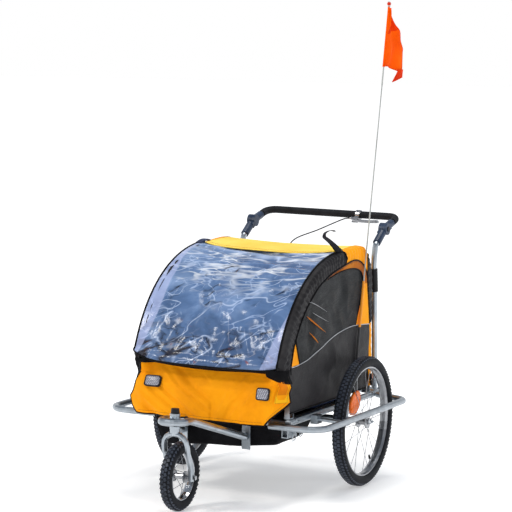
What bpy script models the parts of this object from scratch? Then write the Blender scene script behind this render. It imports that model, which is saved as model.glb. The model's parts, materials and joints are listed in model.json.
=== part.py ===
"""Two-seat child bicycle trailer with a swivelling front wheel and a push handle.

Metres, +Z up.  The trailer stands on Z = 0, its front faces -Y and its left side is -X.
"""

import math

import bmesh
import bpy
from mathutils import Matrix, Vector

# ---------------------------------------------------------------- driving dimensions
GAP = 0.0004                # between pieces that touch
TUBE_R = 0.0125             # frame and bumper tube
RAIL_X = 0.300              # side rails of the base
RAIL_Z = 0.308
RAIL_FRONT = -0.318
RAIL_REAR = 0.560
CROSS_FRONT_Y = -0.300
CROSS_REAR_Y = 0.545

AXLE_Y = 0.184              # rear wheels, 20 inch
AXLE_Z = 0.250
WHEEL_X = 0.381
REAR_TYRE = 0.0235          # half the tyre's width
REAR_HUB = (0.025, 0.0155, 0.027)       # half width, barrel radius, flange radius
STUB_R = 0.006              # stub axle of a rear wheel

CASTER_Y = -0.5815          # front wheel, 10 inch
CASTER_R = 0.127
STEER_Y = -0.626            # swivel axis, ahead of the wheel
FORK_X = 0.046
FORK_R = 0.0105
ARM_Z = 0.335
ARM_R = 0.0135
ARM_FOOT = (0.130, -0.3245, 0.243)

BUMPER_X = 0.440
BUMPER_Z = 0.297
BUMPER_FRONT = -0.340
BUMPER_REAR = 0.460
BUMPER_END_X = 0.235

HOOP_X = 0.290              # folding side hoops
HOOP_R = 0.0105
FOLD_Z = {-1: 0.341, 1: 0.375}          # fold axis of the left and the right hoop
FOOT_FRONT_Y = -0.289
FOOT_REAR_Y = 0.415
EYE_BELOW = 0.008           # the hoop's end below its bolt
BOLT_R = 0.003

FLAG_NOTCH = ((0.252, 0.330), (0.252, 0.368), (0.222, 0.368), (0.222, 0.330))   # clears the flag's socket
FABRIC_X = 0.276            # half width of the fabric between the hoops
PANEL_X = (0.3018, 0.3072)  # inner and outer face of a side panel

HANDLE_X = 0.290
UPRIGHT_R = 0.0115
UPRIGHT = [(0.500, 0.3212), (0.472, 0.706), (0.458, 0.813), (0.461, 0.855), (0.470, 0.8964), (0.481, 0.904)]
CROSS_BAR = (0.474, 0.680)
KNUCKLE = (0.555, 0.955)    # Y and Z of the handle's tilt axis
KNUCKLE_R = 0.024
BAR = (0.694, 0.992)
UPPER_END = tuple(k + 0.49 * (b - k) for k, b in zip(KNUCKLE, BAR))     # where the bar leaves the knuckle
BAR_R = 0.011
GRIP_R = 0.0150
LEVER_X = 0.118             # brake lever clamp on the handlebar

SIDES = {"left": -1, "right": 1}


# ---------------------------------------------------------------- materials
def material(name, colour, roughness, metallic=0.0):
    made = bpy.data.materials.new(name)
    made.use_nodes = True
    shader = made.node_tree.nodes["Principled BSDF"]
    shader.inputs["Base Color"].default_value = (*colour, 1.0)
    shader.inputs["Roughness"].default_value = roughness
    shader.inputs["Metallic"].default_value = metallic
    return made


def make_materials():
    return {
        "zinc": material("zinc_plated_steel", (0.50, 0.53, 0.56), 0.35, 0.9),
        "alloy": material("alloy", (0.62, 0.63, 0.65), 0.3, 1.0),
        "chrome": material("chrome", (0.75, 0.76, 0.78), 0.12, 1.0),
        "tyre": material("tyre_rubber", (0.022, 0.022, 0.024), 0.75),
        "navy": material("navy_plastic", (0.030, 0.048, 0.090), 0.45),
        "black": material("black_plastic", (0.015, 0.015, 0.017), 0.5),
        "foam": material("foam_grip", (0.012, 0.012, 0.014), 0.85),
        "orange": material("orange_fabric", (0.90, 0.36, 0.02), 0.8),
        "charcoal": material("charcoal_fabric", (0.045, 0.043, 0.045), 0.8),
        "floor": material("black_fabric", (0.010, 0.010, 0.011), 0.85),
        "clear": material("clear_cover", (0.25, 0.35, 0.55), 0.15),
        "seat": material("seat_fabric", (0.12, 0.20, 0.38), 0.85),
        "flag": material("flag_fabric", (0.95, 0.14, 0.02), 0.7),
        "pole": material("white_fibreglass", (0.85, 0.85, 0.83), 0.4),
    }


# ---------------------------------------------------------------- mesh helpers
def finish(name, mesh, paint, smooth=True, matrix=None):
    """A new object from a mesh, shaded smooth up to 35 degree edges."""
    if smooth:
        mesh.shade_smooth()
        mesh.set_sharp_from_angle(angle=math.radians(35))
    mesh.materials.clear()
    mesh.materials.append(paint)
    made = bpy.data.objects.new(name, mesh)
    bpy.context.scene.collection.objects.link(made)
    if matrix is not None:
        made.matrix_world = matrix
    return made


def from_bmesh(name, bm, paint, smooth=True, matrix=None):
    bmesh.ops.recalc_face_normals(bm, faces=bm.faces)
    mesh = bpy.data.meshes.new(name)
    bm.to_mesh(mesh)
    bm.free()
    return finish(name, mesh, paint, smooth, matrix)


def evaluated(made, name, paint):
    """Replace an object by the mesh that its curve or modifiers give."""
    graph = bpy.context.evaluated_depsgraph_get()
    mesh = bpy.data.meshes.new_from_object(made.evaluated_get(graph))
    mesh.transform(made.matrix_world)
    bpy.data.objects.remove(made)
    mesh.name = name
    return finish(name, mesh, paint)


def combine(base, others, operation="UNION"):
    """Join other solids to a base solid, or cut them out of it."""
    name = base.name
    paint = base.data.materials[0]
    for other in others:
        step = base.modifiers.new(operation.lower(), "BOOLEAN")
        step.operation = operation
        step.object = other
    bpy.context.view_layer.update()
    base.name = name + "_raw"
    made = evaluated(base, name, paint)
    for other in others:
        bpy.data.objects.remove(other)
    return made


def box(name, low, high, paint):
    bm = bmesh.new()
    bmesh.ops.create_cube(bm, size=1.0)
    middle = [(a + b) / 2 for a, b in zip(low, high)]
    size = [b - a for a, b in zip(low, high)]
    bmesh.ops.transform(bm, matrix=Matrix.Translation(middle) @ Matrix.Diagonal((*size, 1)), verts=bm.verts)
    return from_bmesh(name, bm, paint, smooth=False)


def aim(start, end):
    """A matrix at start whose local Z points to end."""
    direction = Vector(end) - Vector(start)
    return Matrix.Translation(start) @ direction.to_track_quat("Z", "Y").to_matrix().to_4x4()


def rod(name, start, end, radius, paint, sides=12, radius_end=None):
    """A straight round bar from start to end."""
    length = (Vector(end) - Vector(start)).length
    bm = bmesh.new()
    bmesh.ops.create_cone(
        bm, cap_ends=True, segments=sides, radius1=radius,
        radius2=radius if radius_end is None else radius_end, depth=length,
    )
    place = aim(start, end) @ Matrix.Translation((0, 0, length / 2))
    bmesh.ops.transform(bm, matrix=place, verts=bm.verts)
    return from_bmesh(name, bm, paint)


def turned(name, profile, steps, paint, matrix):
    """A closed profile of (radius, along) points turned about the local X axis."""
    bm = bmesh.new()
    corners = [bm.verts.new((along, radius, 0)) for radius, along in profile]
    edges = [bm.edges.new((a, b)) for a, b in zip(corners, corners[1:] + corners[:1])]
    bmesh.ops.spin(
        bm, geom=corners + edges, cent=(0, 0, 0), axis=(1, 0, 0),
        angle=math.tau, steps=steps, use_merge=True,
    )
    bmesh.ops.remove_doubles(bm, verts=bm.verts, dist=1e-6)
    return from_bmesh(name, bm, paint, matrix=matrix)


def extruded(name, outline, low_x, high_x, paint):
    """A solid whose outline of (y, z) points is extruded along X."""
    bm = bmesh.new()
    face = bm.faces.new([bm.verts.new((low_x, y, z)) for y, z in outline])
    grown = bmesh.ops.extrude_face_region(bm, geom=[face])["geom"]
    moved = [v for v in grown if isinstance(v, bmesh.types.BMVert)]
    bmesh.ops.translate(bm, vec=(high_x - low_x, 0, 0), verts=moved)
    return from_bmesh(name, bm, paint)


def rounded(points, radii, steps=4):
    """A path through points whose inner corners are arcs of the given radii."""
    points = [Vector(p) for p in points]
    path = [points[0]]
    for before, corner, after, radius in zip(points, points[1:], points[2:], radii):
        back = (before - corner).normalized()
        ahead = (after - corner).normalized()
        half = back.angle(ahead) / 2
        if radius <= 0 or half > math.radians(89):
            path.append(corner)
            continue
        centre = corner + (back + ahead).normalized() * radius / math.sin(half)
        first = (corner + back * radius / math.tan(half) - centre).normalized()
        last = (corner + ahead * radius / math.tan(half) - centre).normalized()
        for k in range(steps + 1):
            path.append(centre + first.slerp(last, k / steps) * radius)
    path.append(points[-1])
    return path


def bezier(p0, p1, p2, p3, count):
    """Points on a cubic curve, both ends included."""
    points = []
    for k in range(count + 1):
        t = k / count
        s = 1 - t
        weights = (s ** 3, 3 * s * s * t, 3 * s * t * t, t ** 3)
        corners = list(zip(weights, (p0, p1, p2, p3)))
        points.append(tuple(sum(w * p[i] for w, p in corners) for i in range(len(p0))))
    return points


def tube(name, path, radius, paint, sides=12, caps=True):
    """A round tube or cord along a path."""
    curve = bpy.data.curves.new(name, "CURVE")
    curve.dimensions = "3D"
    curve.bevel_depth = radius
    curve.bevel_resolution = sides // 2 - 2
    curve.use_fill_caps = caps
    spline = curve.splines.new("POLY")
    spline.points.add(len(path) - 1)
    for point, place in zip(spline.points, path):
        point.co = (*place, 1.0)
    made = bpy.data.objects.new(name + "_curve", curve)
    bpy.context.scene.collection.objects.link(made)
    bpy.context.view_layer.update()
    return weld(evaluated(made, name, paint))


def weld(made):
    """Merge the rims of a tube's caps with its wall."""
    bm = bmesh.new()
    bm.from_mesh(made.data)
    bmesh.ops.remove_doubles(bm, verts=bm.verts, dist=1e-6)
    bm.to_mesh(made.data)
    bm.free()
    return made


def sleeve(name, path, inner, outer, paint, sides=12):
    """A pipe with an open bore along a path."""
    made = tube(name, path, outer, paint, sides, caps=False)
    wall = made.modifiers.new("wall", "SOLIDIFY")
    wall.thickness = outer - inner
    wall.offset = -1
    wall.use_even_offset = True
    bpy.context.view_layer.update()
    made.name = name + "_raw"
    return evaluated(made, name, paint)


def band(name, path, thickness, half_width, paint):
    """A sheet of fabric: a (y, z) path given a thickness and a width along X."""
    path = [Vector(p) for p in path]
    upper = []
    lower = []
    for k, point in enumerate(path):
        along = path[min(k + 1, len(path) - 1)] - path[max(k - 1, 0)]
        side = Vector((-along.y, along.x)).normalized() * thickness / 2
        upper.append(point + side)
        lower.append(point - side)
    return extruded(name, upper + lower[::-1], -half_width, half_width, paint)


def across(points, x):
    """(y, z) points placed at one x."""
    return [(x, y, z) for y, z in points]


def on_joint(name, place, pieces):
    """Hang the pieces of a moving group on an empty at its joint's axis."""
    pivot = bpy.data.objects.new(name, None)
    pivot.location = place
    bpy.context.scene.collection.objects.link(pivot)
    bpy.context.view_layer.update()
    for piece in pieces:
        piece.parent = pivot
        piece.matrix_parent_inverse = pivot.matrix_world.inverted()
    return pivot


# ---------------------------------------------------------------- base frame
def make_base(paint):
    for word, side in SIDES.items():
        rail = tube(
            f"side_rail_{word}",
            [(side * RAIL_X, RAIL_FRONT, RAIL_Z), (side * RAIL_X, RAIL_REAR, RAIL_Z)],
            TUBE_R, paint["zinc"],
        )
        dropout = extruded(
            "dropout",
            [(AXLE_Y - 0.045, RAIL_Z), (AXLE_Y - 0.032, AXLE_Z - 0.022), (AXLE_Y - 0.018, AXLE_Z - 0.034),
             (AXLE_Y + 0.018, AXLE_Z - 0.034), (AXLE_Y + 0.032, AXLE_Z - 0.022), (AXLE_Y + 0.045, RAIL_Z)],
            side * RAIL_X - 0.003, side * RAIL_X + 0.003, paint["zinc"],
        )
        rail = combine(rail, [dropout])
        bore = rod(
            "bore", (side * RAIL_X - 0.02, AXLE_Y, AXLE_Z), (side * RAIL_X + 0.02, AXLE_Y, AXLE_Z),
            STUB_R + 0.0006, paint["zinc"], sides=16,
        )
        combine(rail, [bore], "DIFFERENCE")

        strut = rod(
            f"bumper_strut_{word}", (side * (RAIL_X + TUBE_R + GAP), -0.130, 0.302),
            (side * (BUMPER_X - TUBE_R - 0.001), -0.130, BUMPER_Z), 0.008, paint["zinc"], sides=10,
        )
        clamp = box(
            "clamp", (side * 0.327 - 0.0135, -0.152, 0.284),
            (side * 0.327 + 0.0135, -0.108, 0.316), paint["black"],
        )
        combine(strut, [clamp])

    reach = RAIL_X - TUBE_R - GAP
    front = rod(
        "front_cross_tube", (-reach, CROSS_FRONT_Y, RAIL_Z - 0.006), (reach, CROSS_FRONT_Y, RAIL_Z - 0.006),
        TUBE_R, paint["zinc"],
    )
    plates = [
        box(
            "plate", (side * ARM_FOOT[0] - 0.017, -0.3155, 0.195), (
                side * ARM_FOOT[0] + 0.017, -0.3105, 0.304,
            ),
            paint["zinc"],
        )
        for side in SIDES.values()
    ]
    combine(front, plates)
    rod(
        "rear_cross_tube", (-reach, CROSS_REAR_Y, RAIL_Z), (reach, CROSS_REAR_Y, RAIL_Z), TUBE_R,
        paint["zinc"],
    )
    inner = RAIL_X - 0.003 - 0.010
    rod("axle_cross_tube", (-inner, AXLE_Y, AXLE_Z), (inner, AXLE_Y, AXLE_Z), 0.011, paint["zinc"])


def make_bumpers(paint):
    """A bent tube outside each rear wheel."""
    for word, side in SIDES.items():
        corners = [
            (side * BUMPER_END_X, BUMPER_FRONT, BUMPER_Z),
            (side * BUMPER_X, BUMPER_FRONT, BUMPER_Z),
            (side * BUMPER_X, BUMPER_REAR, BUMPER_Z),
            (side * (RAIL_X + TUBE_R + 0.0015), BUMPER_REAR + 0.012, BUMPER_Z + 0.009),
        ]
        tube(f"bumper_{word}", rounded(corners, (0.075, 0.034), steps=5), TUBE_R, paint["zinc"])


# ---------------------------------------------------------------- folding hoops
ARCH = ((-0.375, 0.505), (-0.315, 0.720), (-0.130, 0.875), (0.152, 0.884))     # nose to crown, (y, z)
REAR_TOP = (0.346, 0.890)
REAR_MIDDLE = (0.402, 0.600)


def hoop_path(foot_z):
    leg = [
        (FOOT_FRONT_Y, foot_z, 0), (FOOT_FRONT_Y, foot_z + 0.038, 0), (-0.378, 0.490, 0),
        (-0.346, 0.607, 0),
    ]
    nose = rounded(leg, (0.035, 0.05))
    nose = [(p.x, p.y) for p in nose[:-1]]
    arch = [p for p in bezier(*ARCH, 14) if p[1] > 0.62]
    rear_line = [
        (0.152, 0.884, 0), (*REAR_TOP, 0), (*REAR_MIDDLE, 0), (FOOT_REAR_Y, 0.460, 0),
        (FOOT_REAR_Y, foot_z, 0),
    ]
    rear = [(p.x, p.y) for p in rounded(rear_line, (0.045, 0.5, 0.3), 3)[1:]]
    return nose + arch + rear


def make_hoops(paint):
    for word, side in SIDES.items():
        fold_z = FOLD_Z[side]
        hoop = tube(
            f"side_hoop_{word}", across(hoop_path(fold_z - EYE_BELOW), side * HOOP_X),
            HOOP_R, paint["zinc"], sides=10,
        )
        eyes = [
            rod("eye", (side * HOOP_X, y - 0.03, fold_z),
                (side * HOOP_X, y + 0.03, fold_z), BOLT_R + 0.0006,
                paint["zinc"], sides=8)
            for y in (FOOT_FRONT_Y, FOOT_REAR_Y)
        ]
        hoop = combine(hoop, eyes, "DIFFERENCE")
        panel = make_side_panel(word, side, paint)
        on_joint(f"fold_axis_{word}", (side * HOOP_X, 0, fold_z), [hoop, panel])
        for end, y in (("front", FOOT_FRONT_Y), ("rear", FOOT_REAR_Y)):
            make_fold_bracket(f"fold_bracket_{end}_{word}", side, y, fold_z, paint)


def make_fold_bracket(name, side, y, fold_z, paint):
    """Two ears and a bolt on the rail, with a hoop's end between the ears."""
    foot = RAIL_Z + TUBE_R + GAP
    ear_r = 0.0108
    ear = [(side * HOOP_X - ear_r, foot), (side * HOOP_X + ear_r, foot)]
    for k in range(7):
        turn = math.pi * k / 6
        ear.append((side * HOOP_X + ear_r * math.cos(turn), fold_z + ear_r * math.sin(turn)))
    pieces = []
    for low, high in ((y - 0.0175, y - 0.0145), (y + 0.0145, y + 0.0175)):
        bm = bmesh.new()
        face = bm.faces.new([bm.verts.new((x, low, z)) for x, z in ear])
        grown = bmesh.ops.extrude_face_region(bm, geom=[face])["geom"]
        bmesh.ops.translate(
            bm, vec=(0, high - low, 0), verts=[v for v in grown if isinstance(v, bmesh.types.BMVert)],
        )
        pieces.append(from_bmesh("ear", bm, paint["zinc"]))
    base = box(
        name, (side * HOOP_X - ear_r + 0.0004, y - 0.0172, foot + 0.0002),
        (side * HOOP_X + ear_r - 0.0004, y + 0.0172, foot + 0.0030), paint["zinc"],
    )
    bolt = rod(
        "bolt", (side * HOOP_X, y - 0.0215, fold_z), (side * HOOP_X, y + 0.0215, fold_z), BOLT_R,
        paint["zinc"], 8,
    )
    combine(base, pieces + [bolt])


def make_side_panel(word, side, paint):
    """The fabric side with its window, drawn over the hoop's outer face."""
    outline = [(-0.301, 0.330), (-0.387, 0.498)]
    outline += [(y - 0.010, z + 0.010) for y, z in bezier(*ARCH, 12) if z > 0.55]
    outline += [(0.345, 0.900), (0.372, 0.888), (0.429, 0.600), (0.437, 0.466), (0.437, 0.330)]
    if side > 0:
        outline += [(y, z) for y, z in FLAG_NOTCH]
    return extruded(f"side_panel_{word}", outline, side * PANEL_X[0], side * PANEL_X[1], paint["charcoal"])


# ---------------------------------------------------------------- fabric between the hoops
def make_fabric(paint):
    arch = bezier(*ARCH, 16)
    cover = [(-0.392, 0.462), (-0.384, 0.505)] + [p for p in arch if 0.56 < p[1] and p[0] < 0.075]
    band("clear_cover", cover, 0.004, FABRIC_X, paint["clear"])
    roof = [p for p in arch if p[0] > 0.09] + [(0.250, 0.889), (0.335, 0.889)]
    band("roof_fabric", roof, 0.004, FABRIC_X, paint["orange"])
    band(
        "back_fabric", [(0.356, 0.872), (0.402, 0.600), (0.415, 0.460), (0.415, 0.332)], 0.004, FABRIC_X,
        paint["orange"],
    )
    band(
        "front_fabric", [(-0.350, 0.450), (-0.388, 0.400), (-0.378, 0.287)], 0.004, FABRIC_X,
        paint["orange"],
    )
    band("seat_back", [(0.318, 0.790), (0.290, 0.560), (0.238, 0.350)], 0.018, 0.255, paint["seat"])
    extruded(
        "seat_cushion", [(0.010, 0.296), (0.022, 0.326), (0.340, 0.326), (0.352, 0.296)], -0.255, 0.255,
        paint["seat"],
    )
    make_floor(paint)


def make_floor(paint):
    """The footwell: an open tray of fabric whose side profile is deeper in front of the seat."""
    outline = [
        (-0.283, 0.292), (-0.262, 0.205), (-0.240, 0.193), (-0.040, 0.193), (-0.010, 0.268),
        (0.395, 0.268), (0.400, 0.292),
    ]
    hollow = [
        (-0.279, 0.320), (-0.2585, 0.208), (-0.238, 0.197), (-0.043, 0.197), (-0.014, 0.272),
        (0.391, 0.272), (0.396, 0.320),
    ]
    tray = extruded("floor_tray", outline, -0.262, 0.262, paint["floor"])
    space = extruded("space", hollow, -0.258, 0.258, paint["floor"])
    combine(tray, [space], "DIFFERENCE")


# ---------------------------------------------------------------- rear wheels
def tyre_profile(ring, half, base):
    """Closed (radius, along) section: a round tread on a flat base that the rim carries."""
    side = math.sqrt(half ** 2 - (ring - base) ** 2)
    start = math.atan2(side, base - ring)
    points = []
    for k in range(9):
        turn = start - 2 * start * k / 8
        points.append((ring + half * math.cos(turn), half * math.sin(turn)))
    return points


def make_wheel(word, outer, half, rim_depth, hub, bore, spokes, steps, finish_name, place, paint):
    """Tyre, rim and spoked hub about the local X axis; returns the three pieces."""
    matrix = Matrix.Translation(place)
    ring = outer - half
    base = ring - half * 0.56
    tyre = turned(f"tyre_{word}", tyre_profile(ring, half, base), steps, paint["tyre"], matrix)
    top = base - GAP
    wide = half * 0.66
    inner = top - rim_depth
    rim_section = [(top, -wide), (inner + rim_depth * 0.35, -wide), (inner, -wide * 0.45),
                   (inner, wide * 0.45),
                   (inner + rim_depth * 0.35, wide), (top, wide)]
    rim = turned(f"rim_{word}", rim_section, steps, paint[finish_name], matrix)
    reach, barrel, flange = hub
    hub_section = [
        (bore, -reach), (barrel * 0.8, -reach), (barrel * 0.8, -reach * 0.86), (flange, -reach * 0.80),
        (flange, -reach * 0.66), (barrel, -reach * 0.60), (barrel, reach * 0.60), (flange, reach * 0.66),
        (flange, reach * 0.80), (barrel * 0.8, reach * 0.86), (barrel * 0.8, reach), (bore, reach),
    ]
    centre = turned(f"spoked_hub_{word}", hub_section, 16, paint["alloy"], Matrix.Identity(4))
    tip = inner * math.cos(math.pi / steps) - 0.0012
    rods = []
    for k in range(spokes):
        turn = math.tau * k / spokes
        weave = 1 if (k // 2) % 2 else -1
        lean = math.radians(38) * weave
        x = (reach * 0.73 + 0.0022 * weave) * (1 if k % 2 else -1)
        root = flange - 0.0035
        start = Vector((x, root * math.cos(turn + lean), root * math.sin(turn + lean)))
        end = Vector((x * 0.12, tip * math.cos(turn), tip * math.sin(turn)))
        rods.append(rod("spoke", start, end, 0.0012, paint["alloy"], sides=4))
    centre = combine(centre, rods)
    centre.location = place
    return [tyre, rim, centre]


def make_rear_wheels(paint):
    for word, side in SIDES.items():
        place = (side * WHEEL_X, AXLE_Y, AXLE_Z)
        pieces = make_wheel(
            word, 0.250, REAR_TYRE, 0.012, REAR_HUB, STUB_R + 0.0006, 20, 40, "alloy", place, paint,
        )
        on_joint(f"wheel_axis_{word}", place, pieces)
        hub_out = WHEEL_X + REAR_HUB[0]
        stub = rod(
            f"stub_axle_{word}", (side * (RAIL_X - 0.0105), AXLE_Y, AXLE_Z), (
                side * (hub_out + 0.004), AXLE_Y, AXLE_Z,
            ),
            STUB_R, paint["chrome"], sides=12,
        )
        collar = rod(
            "collar", (side * (RAIL_X + 0.0036), AXLE_Y, AXLE_Z), (
                side * (WHEEL_X - REAR_HUB[0] - 0.001), AXLE_Y, AXLE_Z,
            ),
            0.0105, paint["chrome"], sides=12,
        )
        nut = rod(
            "nut", (side * (hub_out + 0.001), AXLE_Y, AXLE_Z), (side * (hub_out + 0.010), AXLE_Y, AXLE_Z),
            0.0095, paint["chrome"], sides=6,
        )
        combine(stub, [collar, nut])


# ---------------------------------------------------------------- front wheel, fork and arm
def make_arm(paint):
    """One tube bent round the steering head, with its ends on the front cross tube's plates."""
    foot_x, foot_y, foot_z = ARM_FOOT
    corners = [
        (-foot_x, foot_y, foot_z), (-0.046, STEER_Y + 0.030, ARM_Z), (-0.046, STEER_Y - 0.046, ARM_Z),
        (0.046, STEER_Y - 0.046, ARM_Z), (0.046, STEER_Y + 0.030, ARM_Z), (foot_x, foot_y, foot_z),
    ]
    arm = tube("front_arm", rounded(corners, (0.08, 0.038, 0.038, 0.08), 5), ARM_R, paint["zinc"])
    head = rod("head", (0, STEER_Y, ARM_Z - 0.029), (0, STEER_Y, ARM_Z + 0.027), 0.019, paint["zinc"], 20)
    web = box(
        "web", (-0.046, STEER_Y - 0.016, ARM_Z - 0.006), (0.046, STEER_Y + 0.016, ARM_Z + 0.006),
        paint["zinc"],
    )
    arm = combine(arm, [web, head])
    bore = rod("bore", (0, STEER_Y, ARM_Z - 0.05), (0, STEER_Y, ARM_Z + 0.05), 0.0130, paint["zinc"], 20)
    combine(arm, [bore], "DIFFERENCE")


def make_caster(paint):
    foot_y = CASTER_Y
    crown_z = 0.288
    leg_top = 0.222
    path = [(-FORK_X, foot_y, CASTER_R - 0.014), (-FORK_X, foot_y, CASTER_R + 0.030),
            (-FORK_X, STEER_Y + 0.012, leg_top),
            (-FORK_X, STEER_Y, crown_z), (FORK_X, STEER_Y, crown_z), (FORK_X, STEER_Y + 0.012, leg_top),
            (FORK_X, foot_y, CASTER_R + 0.030), (FORK_X, foot_y, CASTER_R - 0.014)]
    fork = tube(
        "fork", rounded(path, (0.05, 0.08, 0.044, 0.044, 0.08, 0.05), 4), FORK_R, paint["zinc"], sides=10,
    )
    stem = rod(
        "stem", (0, STEER_Y, crown_z - 0.006), (0, STEER_Y, ARM_Z + 0.019), 0.0122, paint["zinc"], 16,
    )
    crown = rod(
        "crown", (0, STEER_Y, crown_z + 0.003), (0, STEER_Y, ARM_Z - 0.0296), 0.0175, paint["black"], 16,
    )
    fork = combine(fork, [crown, stem])
    holes = rod("holes", (-0.08, foot_y, CASTER_R), (0.08, foot_y, CASTER_R), 0.0056, paint["zinc"], 12)
    fork = combine(fork, [holes], "DIFFERENCE")
    axle = rod(
        "front_axle", (-0.062, foot_y, CASTER_R), (0.062, foot_y, CASTER_R), 0.0050, paint["chrome"], 12,
    )
    nuts = [
        rod("nut", (side * (FORK_X + FORK_R + 0.0006), foot_y, CASTER_R),
            (side * (FORK_X + FORK_R + 0.0086), foot_y, CASTER_R),
            0.0090, paint["chrome"], 6)
        for side in SIDES.values()
    ]
    axle = combine(axle, nuts)
    swivel = on_joint("swivel_axis", (0, STEER_Y, ARM_Z), [fork, axle])
    place = (0, CASTER_Y, CASTER_R)
    wheel = make_wheel(
        "front", CASTER_R, 0.0235, 0.010, (0.0315, 0.0105, 0.0215), 0.0056, 12, 32, "chrome", place, paint,
    )
    turning = on_joint("front_wheel_axis", place, wheel)
    turning.parent = swivel
    turning.matrix_parent_inverse = swivel.matrix_world.inverted()


def make_lock_knob(paint):
    """The pull knob over the steering head that locks the swivel."""
    top = ARM_Z + 0.027
    knob = rod(
        "swivel_lock_knob", (0, STEER_Y, top + GAP), (0, STEER_Y, top + 0.018), 0.0165, paint["black"], 20,
        0.0145,
    )
    neck = rod("neck", (0, STEER_Y, top - 0.007), (0, STEER_Y, top + 0.004), 0.0105, paint["black"], 16)
    knob = combine(knob, [neck])
    on_joint("knob_axis", (0, STEER_Y, top), [knob])


# ---------------------------------------------------------------- push handle
def make_uprights(paint):
    for word, side in SIDES.items():
        x = side * HANDLE_X
        tube(
            f"handle_upright_{word}", rounded(across(UPRIGHT, x), (0.3, 0.15, 0.06, 0.028), 3), UPRIGHT_R,
            paint["zinc"],
        )
        start = Vector((x, *UPRIGHT[1]))
        end = Vector((x, *UPRIGHT[2]))
        inset = (end - start).normalized() * 0.008
        sleeve(
            f"upright_sleeve_{word}", [start + inset, end - inset], UPRIGHT_R + 0.0006, 0.0155,
            paint["black"],
        )
        make_lower_knuckle(word, side, paint)
    reach = HANDLE_X - UPRIGHT_R - 0.0015
    rod("rear_cross_bar", (-reach, *CROSS_BAR), (reach, *CROSS_BAR), 0.008, paint["zinc"], 10)


def knuckle_arm(name, side, far, low_x, high_x, paint):
    """A disc on the tilt axis, a neck and a socket towards a tube's end."""
    x = side * HANDLE_X
    hinge = Vector((x, *KNUCKLE))
    mouth = Vector((x, *far))
    out = (mouth - hinge).normalized()
    disc = rod(name, (side * low_x, *KNUCKLE), (side * high_x, *KNUCKLE), KNUCKLE_R, paint["navy"], 18)
    socket = rod("socket", hinge + out * (KNUCKLE_R + 0.0015), mouth - out * GAP, 0.0160, paint["navy"], 12)
    middle = side * (low_x + high_x) / 2
    half = (high_x - low_x) / 2 - 0.0005
    low = Vector((middle, *KNUCKLE))
    neck_end = low + out * (KNUCKLE_R + 0.012)
    neck = box("neck", (-half, -0.0115, 0.0), (half, 0.0115, (neck_end - low).length), paint["navy"])
    neck.matrix_world = Matrix.Translation(low) @ Matrix.Rotation(math.atan2(-out.y, out.z), 4, "X")
    bpy.context.view_layer.update()
    return combine(disc, [neck, socket])


def make_lower_knuckle(word, side, paint):
    knuckle_arm(f"knuckle_lower_{word}", side, UPRIGHT[-1], 0.2735, 0.2896, paint)


def make_handle(paint):
    pieces = []
    for word, side in SIDES.items():
        upper = knuckle_arm(f"knuckle_upper_{word}", side, UPPER_END, 0.2904, 0.3065, paint)
        pocket = rod(
            "pocket", (side * 0.3010, *KNUCKLE), (side * 0.3100, *KNUCKLE), 0.0106, paint["navy"], 20,
        )
        upper = combine(upper, [pocket], "DIFFERENCE")
        button = rod(
            f"tilt_button_{word}", (side * 0.3055, *KNUCKLE),
            (side * 0.3105, *KNUCKLE), 0.0100, paint["black"], 20, 0.0090,
        )
        on_joint(f"button_axis_{word}", (side * 0.3105, *KNUCKLE), [button])
        pieces.append(upper)
    corners = [
        (-HANDLE_X, *UPPER_END), (-HANDLE_X, *BAR), (HANDLE_X, *BAR), (HANDLE_X, *UPPER_END),
    ]
    full = rounded(corners, (0.040, 0.040), 6)
    pieces.append(tube("handlebar", full, BAR_R, paint["zinc"], sides=10))
    start = full[0].lerp(full[1], 0.35)
    end = full[-1].lerp(full[-2], 0.35)
    pieces.append(
        sleeve("foam_grip", [start] + full[1:-1] + [end], BAR_R + 0.0007, GRIP_R, paint["foam"], sides=12)
    )
    pieces.append(make_lever_clamp(paint))
    on_joint("tilt_axis", (0, *KNUCKLE), pieces)
    make_lever(paint)


def lever_frame():
    """Local X along the bar, Y out to the lever and Z along the lever's pin."""
    out = Vector((0, -0.8, -0.6))
    along = Vector((1, 0, 0))
    pin = along.cross(out)
    turn = Matrix((along, out, pin)).transposed().to_4x4()
    return Matrix.Translation((LEVER_X, *BAR)) @ turn


def make_lever_clamp(paint):
    ring = sleeve(
        "lever_clamp", [(-0.009, 0, 0), (0.009, 0, 0)], GRIP_R + 0.0005, GRIP_R + 0.0045, paint["alloy"],
        20,
    )
    body = box("body", (-0.008, GRIP_R + 0.002, -0.0095), (0.008, 0.0300, 0.0095), paint["alloy"])
    ears = [
        box("ear", (-0.020, 0.0270, low), (0.0075, 0.0390, low + 0.003), paint["alloy"]) for low in (
            -0.0094, 0.0064,
        )
    ]
    pin = rod("pin", (-0.013, 0.0335, -0.0105), (-0.013, 0.0335, 0.0105), 0.0022, paint["alloy"], 8)
    barrel = rod("barrel", (-0.007, 0.0240, 0), (-0.030, 0.0240, 0), 0.0042, paint["alloy"], 8)
    clamp = combine(ring, [body, *ears, barrel, pin])
    clamp.matrix_world = lever_frame()
    return clamp


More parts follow.
